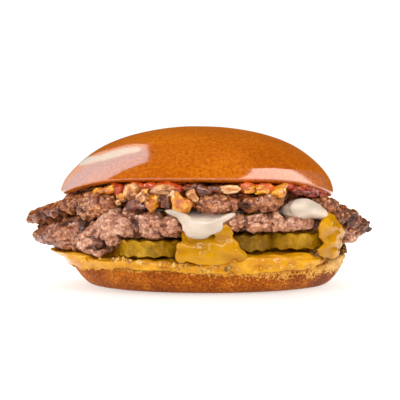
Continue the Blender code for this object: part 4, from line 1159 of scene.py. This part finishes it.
# The table glows nearly to white, which is painted light, but less near the burger, so that its shade
# stays; the lower glow there also paints a soft shadow
place = add(tree, "ShaderNodeTexCoord").outputs["Object"]
from_foot = add(tree, "ShaderNodeVectorMath", {0: place, 1: (0.0, -0.055, 0.0)}, operation="DISTANCE")
tree.links.new(reach_over(tree, from_foot.outputs["Value"], 0.03, 0.13, 0.42, 1.08),
               shader.inputs["Emission Strength"])
floor.data.materials.append(floor_finish)


def panel(name, place, size, radiance):
    """A soft rectangular light of a given brightness, turned to the burger."""
    light = bpy.data.lights.new(name, "AREA")
    light.shape = "RECTANGLE"
    light.size, light.size_y = size
    light.energy = radiance * math.pi * size[0] * size[1]
    lamp = bpy.data.objects.new(name, light)
    lamp.location = place
    lamp.rotation_euler = (LIGHT_AIM - Vector(place)).to_track_quat("-Z", "Y").to_euler()
    lamp.visible_camera = False
    bpy.context.scene.collection.objects.link(lamp)
    return lamp


def reflector(name, away, columns):
    """A curved sheet that shows only in the crown's gloss, and adds an even light to it there.

    Each column is its angle, its lowest and highest elevation, and the light it adds.
    """
    shape = bmesh.new()
    glows = []
    rows = []
    for angle, low, high, light in columns:
        turn = math.radians(angle)
        row = []
        for step in range(REFLECTOR_STEPS + 1):
            lift = math.radians(low + (high - low) * step / REFLECTOR_STEPS)
            level = math.cos(lift)
            toward = Vector((math.cos(turn) * level, math.sin(turn) * level, math.sin(lift)))
            row.append(shape.verts.new(toward * away))
            # The slant at which the crown mirrors this part of the sheet to the front
            slant = math.sqrt((1.0 - toward.y) / 2.0)
            mirrored = CROWN_MIRROR + (1.0 - CROWN_MIRROR) * (1.0 - slant) ** 5
            glows.extend((*(part / mirrored for part in light), 1.0))
        rows.append([shape.edges.new(pair) for pair in zip(row, row[1:])])
    for first, second in zip(rows, rows[1:]):
        bmesh.ops.bridge_loops(shape, edges=first + second)
    sheet = piece_from(shape, name)
    sheet.data.attributes.new("glow", "FLOAT_COLOR", "POINT").data.foreach_set("color", glows)
    finish = bpy.data.materials.new(name)
    finish.use_nodes = True
    tree = finish.node_tree
    tree.nodes.remove(tree.nodes["Principled BSDF"])
    colour = add(tree, "ShaderNodeAttribute", attribute_name="glow").outputs["Color"]
    glow = add(tree, "ShaderNodeEmission", {"Color": colour})
    tree.links.new(glow.outputs["Emission"], tree.nodes["Material Output"].inputs["Surface"])
    sheet.data.materials.append(finish)
    sheet.visible_camera = False
    sheet.visible_diffuse = False
    sheet.visible_shadow = False
    sheet.light_linking.receiver_collection = glazed


glazed = bpy.data.collections.new("glazed")
glazed.objects.link(crown)
reflector("left_reflector", REFLECTOR_AWAY,
          [(101.0, 1.0, 4.0, EDGE_LIGHT), (103.0, 1.0, 9.0, EDGE_LIGHT), (106.5, 1.0, 17.0, EDGE_LIGHT),
           (109.5, 1.0, 25.0, EDGE_LIGHT), (110.0, 1.0, 49.0, EDGE_LIGHT), (127.0, 1.0, 62.0, WINDOW_LIGHT),
           (160.0, 1.0, 68.0, WINDOW_LIGHT), (176.0, 1.0, 63.0, WINDOW_LIGHT),
           (183.0, 1.0, 58.0, WINDOW_LIGHT), (187.0, 1.0, 46.0, WINDOW_LIGHT),
           (191.0, 1.0, 20.0, FADED_LIGHT)])
reflector("left_strip", STRIP_AWAY,
          [(103.0, 8.0, 10.0, STRIP_LIGHT), (108.0, 12.5, 16.5, STRIP_LIGHT),
           (113.0, 18.0, 24.0, STRIP_LIGHT), (116.0, 21.5, 50.0, STRIP_LIGHT),
           (119.0, 25.5, 53.0, STRIP_LIGHT), (123.0, 32.0, 55.0, STRIP_LIGHT),
           (127.0, 42.0, 50.0, WINDOW_LIGHT)])
reflector("right_reflector", REFLECTOR_AWAY,
          [(-58.0, 1.0, 6.0, RIGHT_LIGHT), (-50.0, 1.0, 28.0, RIGHT_LIGHT), (-34.0, 1.0, 50.0, RIGHT_LIGHT),
           (-30.0, 1.0, 54.0, RIGHT_LIGHT), (-3.4, 1.0, 49.0, RIGHT_LIGHT), (11.0, 1.0, 40.0, RIGHT_LIGHT),
           (21.0, 1.0, 37.0, FADED_LIGHT), (60.0, 1.0, 12.0, FADED_LIGHT)])
for soft_panel in SOFT_PANELS:
    panel(*soft_panel).visible_glossy = False
fillings = bpy.data.collections.new("wet_fillings")
for piece in bpy.data.objects:
    if piece.type == "MESH" and piece not in (crown, heel, floor):
        fillings.objects.link(piece)
for gloss_panel in GLOSS_PANELS:
    gloss = panel(*gloss_panel)
    gloss.visible_diffuse = False
    gloss.light_linking.receiver_collection = fillings

world = bpy.data.worlds.new("studio")
world.use_nodes = True
bpy.context.scene.world = world
tree = world.node_tree
path = add(tree, "ShaderNodeLightPath").outputs
lit = blend_colours(tree, path["Is Glossy Ray"], ROOM_LIGHT, ROOM_MIRRORED)
tree.links.new(blend_colours(tree, path["Is Camera Ray"], lit, ROOM_SEEN),
               tree.nodes["Background"].inputs["Color"])
world.cycles.sampling_method = "NONE"
bpy.context.scene.view_settings.view_transform = "Standard"

lens = bpy.data.cameras.new("camera")
lens.sensor_width = 36.0
lens.lens = CAMERA_LENS
lens.clip_start = 0.01
camera = bpy.data.objects.new("camera", lens)
camera.location = (0.0, -CAMERA_AWAY, CAMERA_UP)
camera.rotation_euler = (math.radians(90.0 - CAMERA_TILT), 0.0, 0.0)
bpy.context.scene.collection.objects.link(camera)
bpy.context.scene.camera = camera
